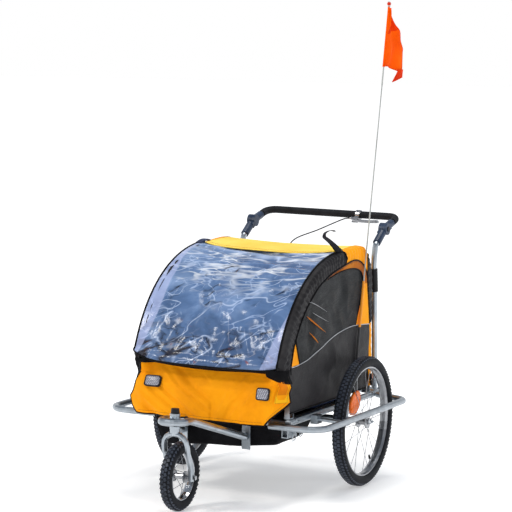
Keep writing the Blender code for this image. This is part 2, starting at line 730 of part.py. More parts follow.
def make_lever(paint):
    outline = [(-0.018, 0.0320), (-0.008, 0.0310), (0.020, 0.0345), (0.060, 0.0350), (0.092, 0.0315),
               (0.100, 0.0345), (0.094, 0.0385), (0.060, 0.0410), (0.020, 0.0405),
               (-0.010, 0.0385), (-0.018, 0.0360)]
    bm = bmesh.new()
    face = bm.faces.new([bm.verts.new((x, y, -0.0055)) for x, y in outline])
    grown = bmesh.ops.extrude_face_region(bm, geom=[face])["geom"]
    bmesh.ops.translate(
        bm, vec=(0, 0, 0.011), verts=[v for v in grown if isinstance(v, bmesh.types.BMVert)],
    )
    lever = from_bmesh("brake_lever", bm, paint["alloy"])
    hole = rod("hole", (-0.013, 0.0335, -0.02), (-0.013, 0.0335, 0.02), 0.0026, paint["alloy"], 8)
    lever = combine(lever, [hole], "DIFFERENCE")
    lever.matrix_world = lever_frame()
    pivot = lever_frame() @ Vector((-0.013, 0.0335, 0))
    bpy.context.view_layer.update()
    on_joint("lever_axis", pivot, [lever])


CABLE = [
    (0.0862, 0.6748, 0.9776), (0.060, 0.658, 0.971), (-0.010, 0.580, 0.931), (-0.075, 0.505, 0.896),
    (-0.100, 0.493, 0.850), (-0.110, 0.491, 0.760), (-0.120, 0.491, 0.620), (-0.140, 0.494, 0.470),
    (-0.175, 0.500, 0.350), (-0.225, 0.490, 0.290), (-0.268, 0.430, 0.272), (-0.278, 0.330, 0.264),
    (-0.284, 0.250, 0.262), (-0.292, 0.2150, 0.262),
]


def smooth_route(points, per_span):
    """A Catmull-Rom curve through the route's own points."""
    points = [Vector(p) for p in points]
    ends = [2 * points[0] - points[1]] + points + [2 * points[-1] - points[-2]]
    route = []
    for a, b, c, d in zip(ends, ends[1:], ends[2:], ends[3:]):
        for k in range(per_span):
            t = k / per_span
            route.append(0.5 * (2 * b + (c - a) * t + (2 * a - 5 * b + 4 * c - d) * t ** 2
                                + (3 * b - 3 * c + d - a) * t ** 3))
    route.append(points[-1])
    return route


def make_cable(paint):
    tube("brake_cable", smooth_route(CABLE, 3), 0.0025, paint["black"], sides=8)


# ---------------------------------------------------------------- safety flag, tow socket
POLE_X = 0.3165
POLE_R = 0.0030
POLE = ((POLE_X, 0.303, 0.780), (POLE_X, 0.345, 1.050), (POLE_X, 0.420, 1.450), (POLE_X, 0.474, 1.838))
POLE_LINE = (Vector(POLE[1]) - Vector(POLE[0])).normalized()     # the straight foot of the pole
POLE_FOOT = 0.440           # length of pole that stands in the socket
SOCKET_R = 0.0052
SOCKET_FOOT = 0.466         # from the socket's mouth to its closed end, along the pole


def make_flag_socket(paint):
    """A slender tube that stands on a clamp round the right rail and holds the flag pole's foot."""
    mouth = Vector(POLE[0]) - POLE_LINE * 0.008
    foot = mouth - POLE_LINE * SOCKET_FOOT
    socket = rod("flag_socket", foot, mouth, SOCKET_R, paint["black"], 12)
    clamp_y = AXLE_Y + 0.055
    clamp = rod(
        "clamp", (RAIL_X, clamp_y - 0.007, RAIL_Z), (RAIL_X, clamp_y + 0.007, RAIL_Z), 0.0165,
        paint["black"], 20,
    )
    lug = box(
        "lug", (0.3135, foot.y - 0.003, 0.300), (POLE_X + SOCKET_R, clamp_y + 0.007, 0.3255),
        paint["black"],
    )
    socket = combine(socket, [clamp, lug])
    rail = rod(
        "rail", (RAIL_X, foot.y - 0.02, RAIL_Z), (RAIL_X, foot.y + 0.03, RAIL_Z), TUBE_R + GAP,
        paint["black"], 20,
    )
    bore_end = Vector(POLE[0]) - POLE_LINE * (POLE_FOOT + 0.001)
    bore = rod("bore", bore_end, mouth + POLE_LINE * 0.01, POLE_R + GAP, paint["black"], 8)
    return combine(socket, [rail, bore], "DIFFERENCE")


def make_flag(paint):
    make_flag_socket(paint)
    foot = Vector(POLE[0]) - POLE_LINE * POLE_FOOT
    route = [foot] + bezier(*POLE, 10)
    pole = tube("flag_pole", route, POLE_R, paint["pole"], sides=8)
    tip = rod(
        "tip", Vector(route[-1]) - Vector((0, 0, 0.010)), Vector(route[-1]) + Vector((0, 0, 0.010)),
        0.0050, paint["flag"], 10,
    )
    pole = combine(pole, [tip])
    hoist_low = Vector((POLE_X, 0.4485, 1.595))
    hoist_high = Vector((POLE_X, 0.4780, 1.815))
    outline = [
        (hoist_low.y, hoist_low.z), (0.512, 1.537), (0.628, 1.560), (0.627, 1.662),
        (hoist_high.y, hoist_high.z),
    ]
    flag = extruded("safety_flag", outline, POLE_X - 0.0008, POLE_X + 0.0008, paint["flag"])
    on_joint("flag_axis", POLE[0], [pole, flag])


def make_tow_socket(paint):
    """A square socket under the right rail for the tow bar, and its cross pin."""
    low = (0.2655, -0.296, 0.2480)
    high = (0.2915, -0.2260, 0.2780)
    wall = 0.003
    socket = box("tow_socket", low, high, paint["zinc"])
    space = box(
        "space", (low[0] + wall, low[1] - 0.01, low[2] + wall),
        (high[0] - wall, high[1] + 0.01, high[2] - wall), paint["zinc"],
    )
    middle_y = -0.262
    middle_z = (low[2] + high[2]) / 2
    holes = rod(
        "holes", (low[0] - 0.01, middle_y, middle_z), (high[0] + 0.01, middle_y, middle_z), 0.0036,
        paint["zinc"], 10,
    )
    combine(socket, [space, holes], "DIFFERENCE")
    pin = rod(
        "tow_pin", (low[0] - 0.0015, middle_y, middle_z), (high[0] + 0.012, middle_y, middle_z), 0.0030,
        paint["chrome"], 10,
    )
    ring_path = [
        (
            high[0] + 0.010, middle_y + 0.0125 * math.sin(math.tau * k / 15),
            middle_z - 0.0125 + 0.0125 * math.cos(math.tau * k / 15),
        )
        for k in range(15)
    ]
    ring = tube("ring", ring_path, 0.0012, paint["chrome"], sides=8)
    pin = combine(pin, [ring])
    on_joint("tow_pin_axis", (high[0], middle_y, middle_z), [pin])


# ---------------------------------------------------------------- assembly
def main():
    for made in list(bpy.data.objects):
        bpy.data.objects.remove(made)
    paint = make_materials()
    make_base(paint)
    make_bumpers(paint)
    make_hoops(paint)
    make_fabric(paint)
    make_rear_wheels(paint)
    make_arm(paint)
    make_caster(paint)
    make_lock_knob(paint)
    make_uprights(paint)
    make_handle(paint)
    make_cable(paint)
    make_flag(paint)
    make_tow_socket(paint)


main()
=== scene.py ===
"""Looks of a child bicycle trailer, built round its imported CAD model.  Metres, +Z up, front at -Y."""

import json
import math

import bmesh
import bpy
from mathutils import Matrix, Vector, noise


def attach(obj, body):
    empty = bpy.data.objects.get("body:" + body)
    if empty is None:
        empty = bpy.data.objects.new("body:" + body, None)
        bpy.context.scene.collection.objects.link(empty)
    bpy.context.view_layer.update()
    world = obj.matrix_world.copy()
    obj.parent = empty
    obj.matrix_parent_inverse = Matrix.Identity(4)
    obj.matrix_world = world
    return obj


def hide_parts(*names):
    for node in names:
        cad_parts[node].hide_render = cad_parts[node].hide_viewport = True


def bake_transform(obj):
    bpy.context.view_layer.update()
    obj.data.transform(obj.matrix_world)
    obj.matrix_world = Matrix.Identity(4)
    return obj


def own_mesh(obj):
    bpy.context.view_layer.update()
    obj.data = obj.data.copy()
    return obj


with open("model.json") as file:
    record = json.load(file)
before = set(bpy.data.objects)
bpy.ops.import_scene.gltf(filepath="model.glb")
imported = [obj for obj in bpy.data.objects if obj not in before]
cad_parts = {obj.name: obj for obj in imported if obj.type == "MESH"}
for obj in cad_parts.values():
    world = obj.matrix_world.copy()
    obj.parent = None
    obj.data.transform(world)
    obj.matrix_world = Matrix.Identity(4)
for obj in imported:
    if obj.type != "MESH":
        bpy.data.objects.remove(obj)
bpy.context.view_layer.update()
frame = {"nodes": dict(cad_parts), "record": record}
noise.seed_set(7)           # so that the folds are the same in every run

# ---------------------------------------------------------------- driving dimensions
EDGE_X = 0.2830             # where the clear cover and the roof meet the side hoops
FAR_EDGE_X = 0.3060         # the clear cover laps over the far hoop
COVER_EDGE_LIFT = (0.030, 0.012)        # rise of the cover's lower edge at its left and right corner
HOOP_X = 0.2900
HOOP_COVER = 0.0155         # radius of the cloth over a hoop
SIDE_X = 0.3080             # outer cloth of a side
ARCH = ((-0.375, 0.505), (-0.315, 0.720), (-0.130, 0.875), (0.152, 0.884))      # hoop centre, (y, z)
PIPING_R = 0.0028
REAR_RIM_R = 0.2055
FRONT_RIM_R = 0.0800
REAR_WHEEL = (0.381, 0.184, 0.250)      # middle of the right rear wheel
FRONT_WHEEL = (0.0, -0.5815, 0.127)
SIDES = {"left": -1, "right": 1}
X_AXIS = Vector((1, 0, 0))
Y_AXIS = Vector((0, 1, 0))
Z_AXIS = Vector((0, 0, 1))
AXES = (X_AXIS, Y_AXIS, Z_AXIS)


# ---------------------------------------------------------------- curves
def bezier(corners, count):
    p0, p1, p2, p3 = (Vector(p) for p in corners)
    points = []
    for k in range(count + 1):
        t = k / count
        s = 1 - t
        points.append(p0 * s ** 3 + p1 * 3 * s * s * t + p2 * 3 * s * t * t + p3 * t ** 3)
    return points


def smooth(points, per_span=8):
    """A Catmull-Rom curve through the points, of any dimension."""
    points = [Vector(p) for p in points]
    ends = [2 * points[0] - points[1]] + points + [2 * points[-1] - points[-2]]
    route = []
    for a, b, c, d in zip(ends, ends[1:], ends[2:], ends[3:]):
        for k in range(per_span):
            t = k / per_span
            curved = (2 * a - 5 * b + 4 * c - d) * t ** 2 + (3 * b - 3 * c + d - a) * t ** 3
            route.append(0.5 * (2 * b + (c - a) * t + curved))
    route.append(points[-1])
    return route


def resample(points, count):
    """The same line with count + 1 points at even distances."""
    points = [Vector(p) for p in points]
    reach = [0.0]
    for a, b in zip(points, points[1:]):
        reach.append(reach[-1] + (b - a).length)
    made = []
    span = 0
    for k in range(count + 1):
        at = reach[-1] * k / count
        while span < len(points) - 2 and reach[span + 1] < at:
            span += 1
        share = (at - reach[span]) / max(reach[span + 1] - reach[span], 1e-9)
        made.append(points[span].lerp(points[span + 1], min(max(share, 0.0), 1.0)))
    return made


def length_of(points):
    return sum((b - a).length for a, b in zip(points, points[1:]))


def directions(points):
    """The unit direction of a line at each of its points."""
    around = zip(points[:1] + points[:-1], points[1:] + points[-1:])
    return [(after - before).normalized() for before, after in around]


def offset(points, distance):
    """A (y, z) line moved sideways, to its left as it runs."""
    return [p + Vector((-d.y, d.x)) * distance for p, d in zip(points, directions(points))]


def between(table, at):
    """The value at a place on a table of (place, value) pairs."""
    for (a, low), (b, high) in zip(table, table[1:]):
        if at <= b:
            return low + (high - low) * max(at - a, 0.0) / (b - a)
    return table[-1][1]


def clamp(t):
    return min(max(t, 0.0), 1.0)


def ease(t):
    t = clamp(t)
    return t * t * (3 - 2 * t)


def power(value, exponent):
    """A power that keeps the sign."""
    return math.copysign(abs(value) ** exponent, value)


def folds(x, y, seed, scale=9.0, sharp=0.0):
    """Height of soft cloth folds between about -1 and 1; sharp turns them into creases."""
    p = Vector((x * scale, y * scale, seed))
    p += noise.noise_vector(p * 0.7) * 0.55
    value = noise.noise(p) + 0.45 * noise.noise(p * 2.1 + Vector((3.1, 7.7, 0)))
    crease = 0.55 - abs(value) * 1.9
    return value * (1 - sharp) + crease * sharp


# ---------------------------------------------------------------- meshes
def as_object(name, bm, paint, smooth_faces=True):
    mesh = bpy.data.meshes.new(name)
    bm.to_mesh(mesh)
    bm.free()
    mesh.polygons.foreach_set("use_smooth", [smooth_faces] * len(mesh.polygons))
    mesh.materials.append(PAINT[paint])
    made = bpy.data.objects.new(name, mesh)
    bpy.context.scene.collection.objects.link(made)
    return made


def dress(obj, body="root", stands_for=()):
    """Put a finished piece on its body and the CAD nodes it stands for."""
    if body:
        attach(obj, body)
    if stands_for:
        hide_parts(*stands_for)
    return obj


def solid(name, bm, paint, body="root", stands_for=(), smooth_faces=True):
    """A closed piece, whose faces are turned outward."""
    bmesh.ops.recalc_face_normals(bm, faces=bm.faces)
    return dress(as_object(name, bm, paint, smooth_faces), body, stands_for)


def fill_grid(bm, rows, closed=False, looped=False):
    """Quads between rows of points; closed joins a row's ends, looped joins the last row to the first."""
    corners = [[bm.verts.new(p) for p in row] for row in rows]
    if looped:
        corners.append(corners[0])
    count = len(rows[0])
    for low, high in zip(corners, corners[1:]):
        for k in range(count if closed else count - 1):
            after = (k + 1) % count
            bm.faces.new((low[k], low[after], high[after], high[k]))
    return corners


def skin(bm, rings):
    """Closed rings joined to each other and capped at both ends."""
    corners = fill_grid(bm, rings, closed=True)
    bm.faces.new(list(reversed(corners[0])))
    bm.faces.new(corners[-1])


def skin_piece(name, rings, paint, body="root"):
    bm = bmesh.new()
    skin(bm, rings)
    return solid(name, bm, paint, body)


def sheet_of(name, rows, paint, flip=False):
    """A single sheet through rows of points."""
    bm = bmesh.new()
    fill_grid(bm, rows)
    if flip:
        bmesh.ops.reverse_faces(bm, faces=bm.faces)
    return as_object(name, bm, paint)


def circle(middle, across, other, radius, count):
    turns = [math.tau * k / count for k in range(count)]
    return [middle + (across * math.cos(t) + other * math.sin(t)) * radius for t in turns]


def add_tube(bm, path, radius, sides=8, closed=False):
    """A round cord along a path, added to bm.  radius may be one number or one per point."""
    path = [Vector(p) for p in path]
    along = directions([path[-1], *path, path[0]])[1:-1] if closed else directions(path)
    normal = along[0].orthogonal().normalized()
    rings = []
    for k, (p, d) in enumerate(zip(path, along)):
        normal = (normal - d * normal.dot(d)).normalized()
        r = radius[k] if hasattr(radius, "__len__") else radius
        rings.append(circle(p, normal, d.cross(normal), r, sides))
    if closed:
        fill_grid(bm, rings, closed=True, looped=True)
    else:
        skin(bm, rings)


def cord(name, paths, radius, paint, body="root", sides=8, closed=False):
    """A piece of one or more round cords."""
    bm = bmesh.new()
    for path in paths:
        add_tube(bm, path, radius, sides, closed)
    return solid(name, bm, paint, body)


def add_block(bm, middle, axes, size):
    """A box on three given unit axes."""
    corners = []
    for k in range(8):
        steps = (k // 4 - 0.5, k // 2 % 2 - 0.5, k % 2 - 0.5)
        reach = [axis * width * step for axis, width, step in zip(axes, size, steps)]
        corners.append(bm.verts.new(middle + sum(reach, Vector())))
    for quad in ((0, 1, 3, 2), (4, 6, 7, 5), (0, 4, 5, 1), (2, 3, 7, 6), (0, 2, 6, 4), (1, 5, 7, 3)):
        bm.faces.new([corners[k] for k in quad])


def block_piece(name, middle, axes, size, bevel, segments, paint, body="root"):
    """A box with rounded edges."""
    bm = bmesh.new()
    add_block(bm, middle, axes, size)
    bmesh.ops.bevel(bm, geom=bm.edges[:], offset=bevel, segments=segments, affect="EDGES")
    solid(name, bm, paint, body)


def stitches(name, paths, normal, pitch, length, width, paint, body="root", lift=0.0006):
    """A row of short threads along each path, lying flat on a surface with the given normal."""
    bm = bmesh.new()
    up = Vector(normal)
    for path in paths:
        places = resample(path, max(int(length_of(path) / pitch), 2))
        for start, end in zip(places, places[1:]):
            along = (end - start).normalized()
            axes = (along, along.cross(up).normalized(), up)
            add_block(bm, (start + end) / 2 + up * lift, axes, (length, width, width * 0.8))
    return solid(name, bm, paint, body)


def ribbon(name, path, across, thick, paint, body):
    """A strap along a path; across gives the half width vector at each point."""
    rings = []
    for p, side, along in zip(path, across, directions(path)):
        up = along.cross(side).normalized() * thick / 2
        row = [p + side * s + up * (1.3 if abs(s) < 1 else 1) for s in (-1, -0.5, 0.5, 1)]
        row += [p + side * s - up * (1.3 if abs(s) < 1 else 1) for s in (1, 0.5, -0.5, -1)]
        rings.append(row)
    return skin_piece(name, rings, paint, body)


def bolt(bm, middle, axis, radius, height):
    """A hexagon bolt head with a domed end, on a washer."""
    axis = Vector(axis).normalized()
    side = axis.orthogonal().normalized()
    other = axis.cross(side)
    for sides, profile in ((16, ((1.35, 0.0), (1.35, 0.15))), (6, ((1.0, 0.14), (1.0, 0.8), (0.82, 1.0)))):
        skin(bm, [circle(middle + axis * height * h, side, other, radius * r, sides) for r, h in profile])


def flatten(obj):
    """Give the piece a mesh of its own."""
    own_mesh(obj)


# ---------------------------------------------------------------- materials
class Shader:
    """A Principled material whose colour, roughness and bump come from procedural nodes."""

    def __init__(self, name, **constants):
        self.material = bpy.data.materials.new(name)
        self.material.use_nodes = True
        self.tree = self.material.node_tree
        self.bsdf = self.tree.nodes["Principled BSDF"]
        self.where = self.add("TexCoord").outputs["Object"]
        self.height = None
        for key, value in constants.items():
            self.bsdf.inputs[key.replace("_", " ")].default_value = value

    def add(self, kind, source=None, into="Vector", **settings):
        """A node with its inputs and settings, fed by a source."""
        node = self.tree.nodes.new("ShaderNode" + kind)
        for key, value in settings.items():
            socket = key.replace("_", " ")
            if socket in node.inputs:
                node.inputs[socket].default_value = value
            else:
                setattr(node, key, value)
        if source is not None:
            self.tree.links.new(source, node.inputs[into])
        return node

    def feed(self, source, name):
        self.tree.links.new(source, self.bsdf.inputs[name])

    def noise(self, scale, detail=3.0, rough=0.55, stretch=(1, 1, 1), distortion=0.0, turn=(0, 0, 0),
              kind="POINT"):
        place = self.add("Mapping", self.where, vector_type=kind, Rotation=turn, Scale=stretch)
        return self.add("TexNoise", place.outputs["Vector"], Scale=scale, Detail=detail, Roughness=rough,
                        Distortion=distortion).outputs["Fac"]

    def wave(self, scale, turn=0.0, direction="X"):
        place = self.add("Mapping", self.where, Rotation=(0, 0, turn))
        bands = self.add("TexWave", place.outputs["Vector"], bands_direction=direction, Scale=scale)
        return bands.outputs["Fac"]

    def ramp(self, source, *stops):
        """Colours or grey levels at places along a source."""
        node = self.add("ValToRGB", source, "Fac")
        elements = node.color_ramp.elements
        while len(elements) < len(stops):
            elements.new(0.5)
        for element, (place, colour) in zip(elements, stops):
            element.position = place
            element.color = (*colour, 1.0) if isinstance(colour, tuple) else (colour, colour, colour, 1.0)
        return node.outputs["Color"]

    def lines(self, scale, width, lean, stretch, patches, share):
        """Long thin crease lines that lean and come and go in patches."""
        level = self.noise(scale, 2.0, 0.5, stretch, 0.25, (0, lean, 0), "TEXTURE")
        ridge = self.math("ABSOLUTE", self.math("SUBTRACT", level, 0.5), 0.0)
        here = self.ramp(self.noise(patches, 2.0), (share, 0.0), (share + 0.08, 1.0))
        return self.math("MULTIPLY", self.ramp(ridge, (0.0, 1.0), (width, 0.0)), here)

    def math(self, operation, a, b):
        node = self.add("Math", operation=operation)
        for socket, value in zip(node.inputs, (a, b)):
            if isinstance(value, (int, float)):
                socket.default_value = value
            else:
                self.tree.links.new(value, socket)
        return node.outputs["Value"]

    def times(self, a, b):
        return self.math("MULTIPLY", a, b)

    def mix(self, share, base, colour):
        """The base colour, mixed with one colour by a share."""
        tint = self.add("RGB").outputs["Color"]
        tint.default_value = (*colour, 1.0)
        node = self.add("Mix", data_type="RGBA")
        for k, source in ((0, share), (6, base), (7, tint)):
            self.tree.links.new(source, node.inputs[k])
        return node.outputs[2]

    def spread(self, source, low, high, **settings):
        return self.add("MapRange", source, "Value", To_Min=low, To_Max=high, **settings).outputs["Result"]

    def colour(self, source, *stops):
        self.feed(self.ramp(source, *stops), "Base Color")

    def rough(self, source, low, high):
        self.feed(self.spread(source, low, high), "Roughness")

    def bump(self, source, strength, distance):
        node = self.add("Bump", source, "Height", Strength=strength, Distance=distance)
        if self.height is not None:
            self.tree.links.new(self.height, node.inputs["Normal"])
        self.height = node.outputs["Normal"]
        self.feed(self.height, "Normal")

    def axis(self, letter):
        return self.add("SeparateXYZ", self.where).outputs[letter]


def cloth(name, dark, middle, light, weave=260.0, sheen=0.03, rough=(0.55, 0.75), soft=0.5, gloss=0.08):
    """Coated woven polyester: uneven dye, a fine two-way weave and soft handling creases."""
    s = Shader(name, Sheen_Weight=sheen, Sheen_Roughness=0.45, Specular_IOR_Level=gloss)
    s.colour(s.noise(7.0, 4.0, 0.6), (0.28, dark), (0.50, middle), (0.74, light))
    s.rough(s.noise(22.0), *rough)
    s.bump(s.math("ADD", s.wave(weave, 0.785), s.wave(weave, direction="Z")), 0.22, 0.0004)
    s.bump(s.noise(38.0, 5.0, 0.62, distortion=0.6), soft, 0.0022)
    return s.material


def metal(name, dark, light, rough=(0.22, 0.36), brushed=0.2):
    """Plated tube: cloudy plating, fine drawn lines and small scuffs."""
    s = Shader(name, Metallic=1.0)
    s.colour(s.noise(26.0, 5.0, 0.6), (0.30, dark), (0.72, light))
    s.rough(s.noise(60.0, 6.0, 0.7), *rough)
    s.bump(s.noise(420.0, 2.0, 0.5), brushed, 0.0002)
    s.bump(s.noise(34.0, 2.0, 0.5), 0.10, 0.0008)
    return s.material


def plastic(name, dark, light, rough=(0.3, 0.45), grain=0.25, scale=900.0):
    s = Shader(name, Specular_IOR_Level=0.18)
    s.colour(s.noise(18.0, 4.0, 0.6), (0.3, dark), (0.75, light))
    s.rough(s.noise(45.0, 4.0, 0.6), *rough)
    s.bump(s.noise(scale, 2.0, 0.5), grain, 0.0003)
    return s.material


def vinyl_material():
    """Clear flexible film with a blue cast; its creases carry painted highlights, and painted reflections
    streak it.
    """
    s = Shader("clear_film", IOR=1.45, Coat_Weight=0.08, Coat_Roughness=0.14, Specular_IOR_Level=0.22)
    tint = s.ramp(s.noise(5.0, 4.0, 0.6, distortion=0.8),
                  (0.28, (0.060, 0.110, 0.23)), (0.48, (0.115, 0.205, 0.40)), (0.70, (0.24, 0.36, 0.60)))
    crease = s.add("Attribute", attribute_name="crease").outputs["Fac"]
    # painted highlight: paler blue where the cover's crease mark is high, on fold ridges and across the lit
    # top
    tint = s.mix(s.ramp(crease, (0.58, 0.0), (0.92, 0.85)), tint, (0.60, 0.70, 0.90))
    x, z = s.axis("X"), s.axis("Z")
    # painted light by height: light streaks only on the upper cover, which faces the light, and a painted
    # shade darkening its foot
    high = s.ramp(z, (0.74, 0.0), (0.83, 1.0))
    low = s.ramp(z, (0.56, 1.0), (0.68, 0.0))
    tint = s.mix(s.times(low, 0.40), tint, (0.055, 0.095, 0.20))
    # the light blue and white lines are painted highlights on the wrinkles, the dark, grey and red ones
    # painted reflections
    # scale, line width, lean, stretch, patch scale, patch share, colour, where
    for scale, width, lean, stretch, patches, share, colour, zone in (
        (9.0, 0.030, -0.10, (4.5, 1.0, 0.8), 6.0, 0.40, (0.78, 0.84, 0.95), high),
        (16.0, 0.020, -0.05, (3.5, 1.0, 0.8), 9.0, 0.45, (0.85, 0.90, 0.97), high),
        (8.0, 0.014, -0.62, (4.0, 1.0, 0.8), 7.0, 0.44, (0.50, 0.61, 0.84), 1.0),
        (13.0, 0.013, -0.50, (4.0, 1.0, 0.8), 9.0, 0.48, (0.42, 0.54, 0.80), 1.0),
        (10.0, 0.012, 0.70, (4.0, 1.0, 0.8), 8.0, 0.50, (0.46, 0.58, 0.82), 1.0),
        (21.0, 0.012, -0.80, (3.0, 1.0, 0.8), 8.0, 0.50, (0.40, 0.50, 0.72), 1.0),
        (9.0, 0.030, -0.55, (3.0, 1.0, 0.8), 8.0, 0.55, (0.016, 0.020, 0.035), 1.0),
        (13.0, 0.060, -0.20, (2.5, 1.0, 0.8), 9.0, 0.46, (0.022, 0.018, 0.024), low),
        (22.0, 0.045, 0.50, (2.0, 1.0, 0.8), 12.0, 0.50, (0.012, 0.014, 0.022), low),
        (17.0, 0.030, -0.40, (2.5, 1.0, 0.8), 13.0, 0.52, (0.26, 0.29, 0.38), low),
        (12.0, 0.030, 0.20, (2.0, 1.0, 0.8), 17.0, 0.60, (0.30, 0.08, 0.07), low),
    ):
        tint = s.mix(s.times(s.lines(scale, width, lean, stretch, patches, share), zone), tint, colour)
    # paler lavender along both ends: a widening wedge at the near end, an arc at the far end
    wedge = s.math("SUBTRACT", x, s.times(z, 0.30))
    middle = s.math("SUBTRACT", z, 0.71)
    arc = s.math("SUBTRACT", s.times(x, -1.0), s.times(s.times(middle, middle), 1.2))
    for level, start in ((wedge, 0.0660), (arc, 0.2480)):
        pale_band = s.ramp(s.times(s.math("SUBTRACT", level, start), 300.0), (0.0, 0.0), (1.0, 0.58))
        tint = s.mix(pale_band, tint, (0.46, 0.52, 0.80))
    s.feed(tint, "Base Color")
    s.rough(s.noise(30.0, 4.0, 0.6), 0.08, 0.24)
    s.feed(s.spread(crease, 0.74, 0.97, From_Min=0.3, From_Max=0.8), "Alpha")
    s.bump(s.noise(13.0, 3.0, 0.5, distortion=0.8), 0.22, 0.004)
    return s.material


def tyre_material():
    s = Shader("tyre_rubber", Specular_IOR_Level=0.10)
    s.colour(s.noise(30.0, 5.0, 0.65), (0.3, (0.004, 0.0045, 0.006)), (0.8, (0.016, 0.018, 0.024)))
    s.rough(s.noise(60.0), 0.45, 0.70)
    s.bump(s.noise(500.0, 3.0, 0.6), 0.3, 0.0004)
    return s.material


def netting_material():
    """Dark netting drawn tight, with a woven grid."""
    s = Shader("window_netting", Specular_IOR_Level=0.10)
    s.colour(s.noise(9.0, 4.0, 0.6), (0.3, (0.007, 0.008, 0.009)), (0.75, (0.024, 0.026, 0.029)))
    s.rough(s.noise(30.0), 0.35, 0.6)
    s.bump(s.times(s.wave(150.0, direction="Y"), s.wave(150.0, direction="Z")), 0.5, 0.0006)
    s.bump(s.noise(26.0, 5.0, 0.6, (1, 0.6, 2.2), 1.0), 0.8, 0.004)
    return s.material


def reflector_material(name, dark, light):
    """Moulded prisms under a clear face."""
    s = Shader(name, Coat_Weight=0.15, Coat_Roughness=0.10, Specular_IOR_Level=0.3)
    prisms = s.times(s.wave(62.0, 0.785), s.wave(62.0, direction="Z"))
    s.colour(prisms, (0.15, dark), (0.75, light))
    s.rough(s.noise(80.0, 2.0), 0.10, 0.25)
    s.bump(prisms, 0.7, 0.0012)
    return s.material


def sleeve_material():
    """The flag's sewn sleeve: orange cloth above, charcoal cloth below."""
    s = Shader("flag_sleeve_cloth", Sheen_Weight=0.2)
    level = s.times(s.math("SUBTRACT", s.axis("Z"), 0.596), 400.0)
    s.colour(level, (0.0, (0.024, 0.023, 0.025)), (1.0, (0.90, 0.31, 0.004)))
    s.rough(s.noise(40.0), 0.55, 0.75)
    s.bump(s.noise(260.0), 0.3, 0.0006)
    return s.material


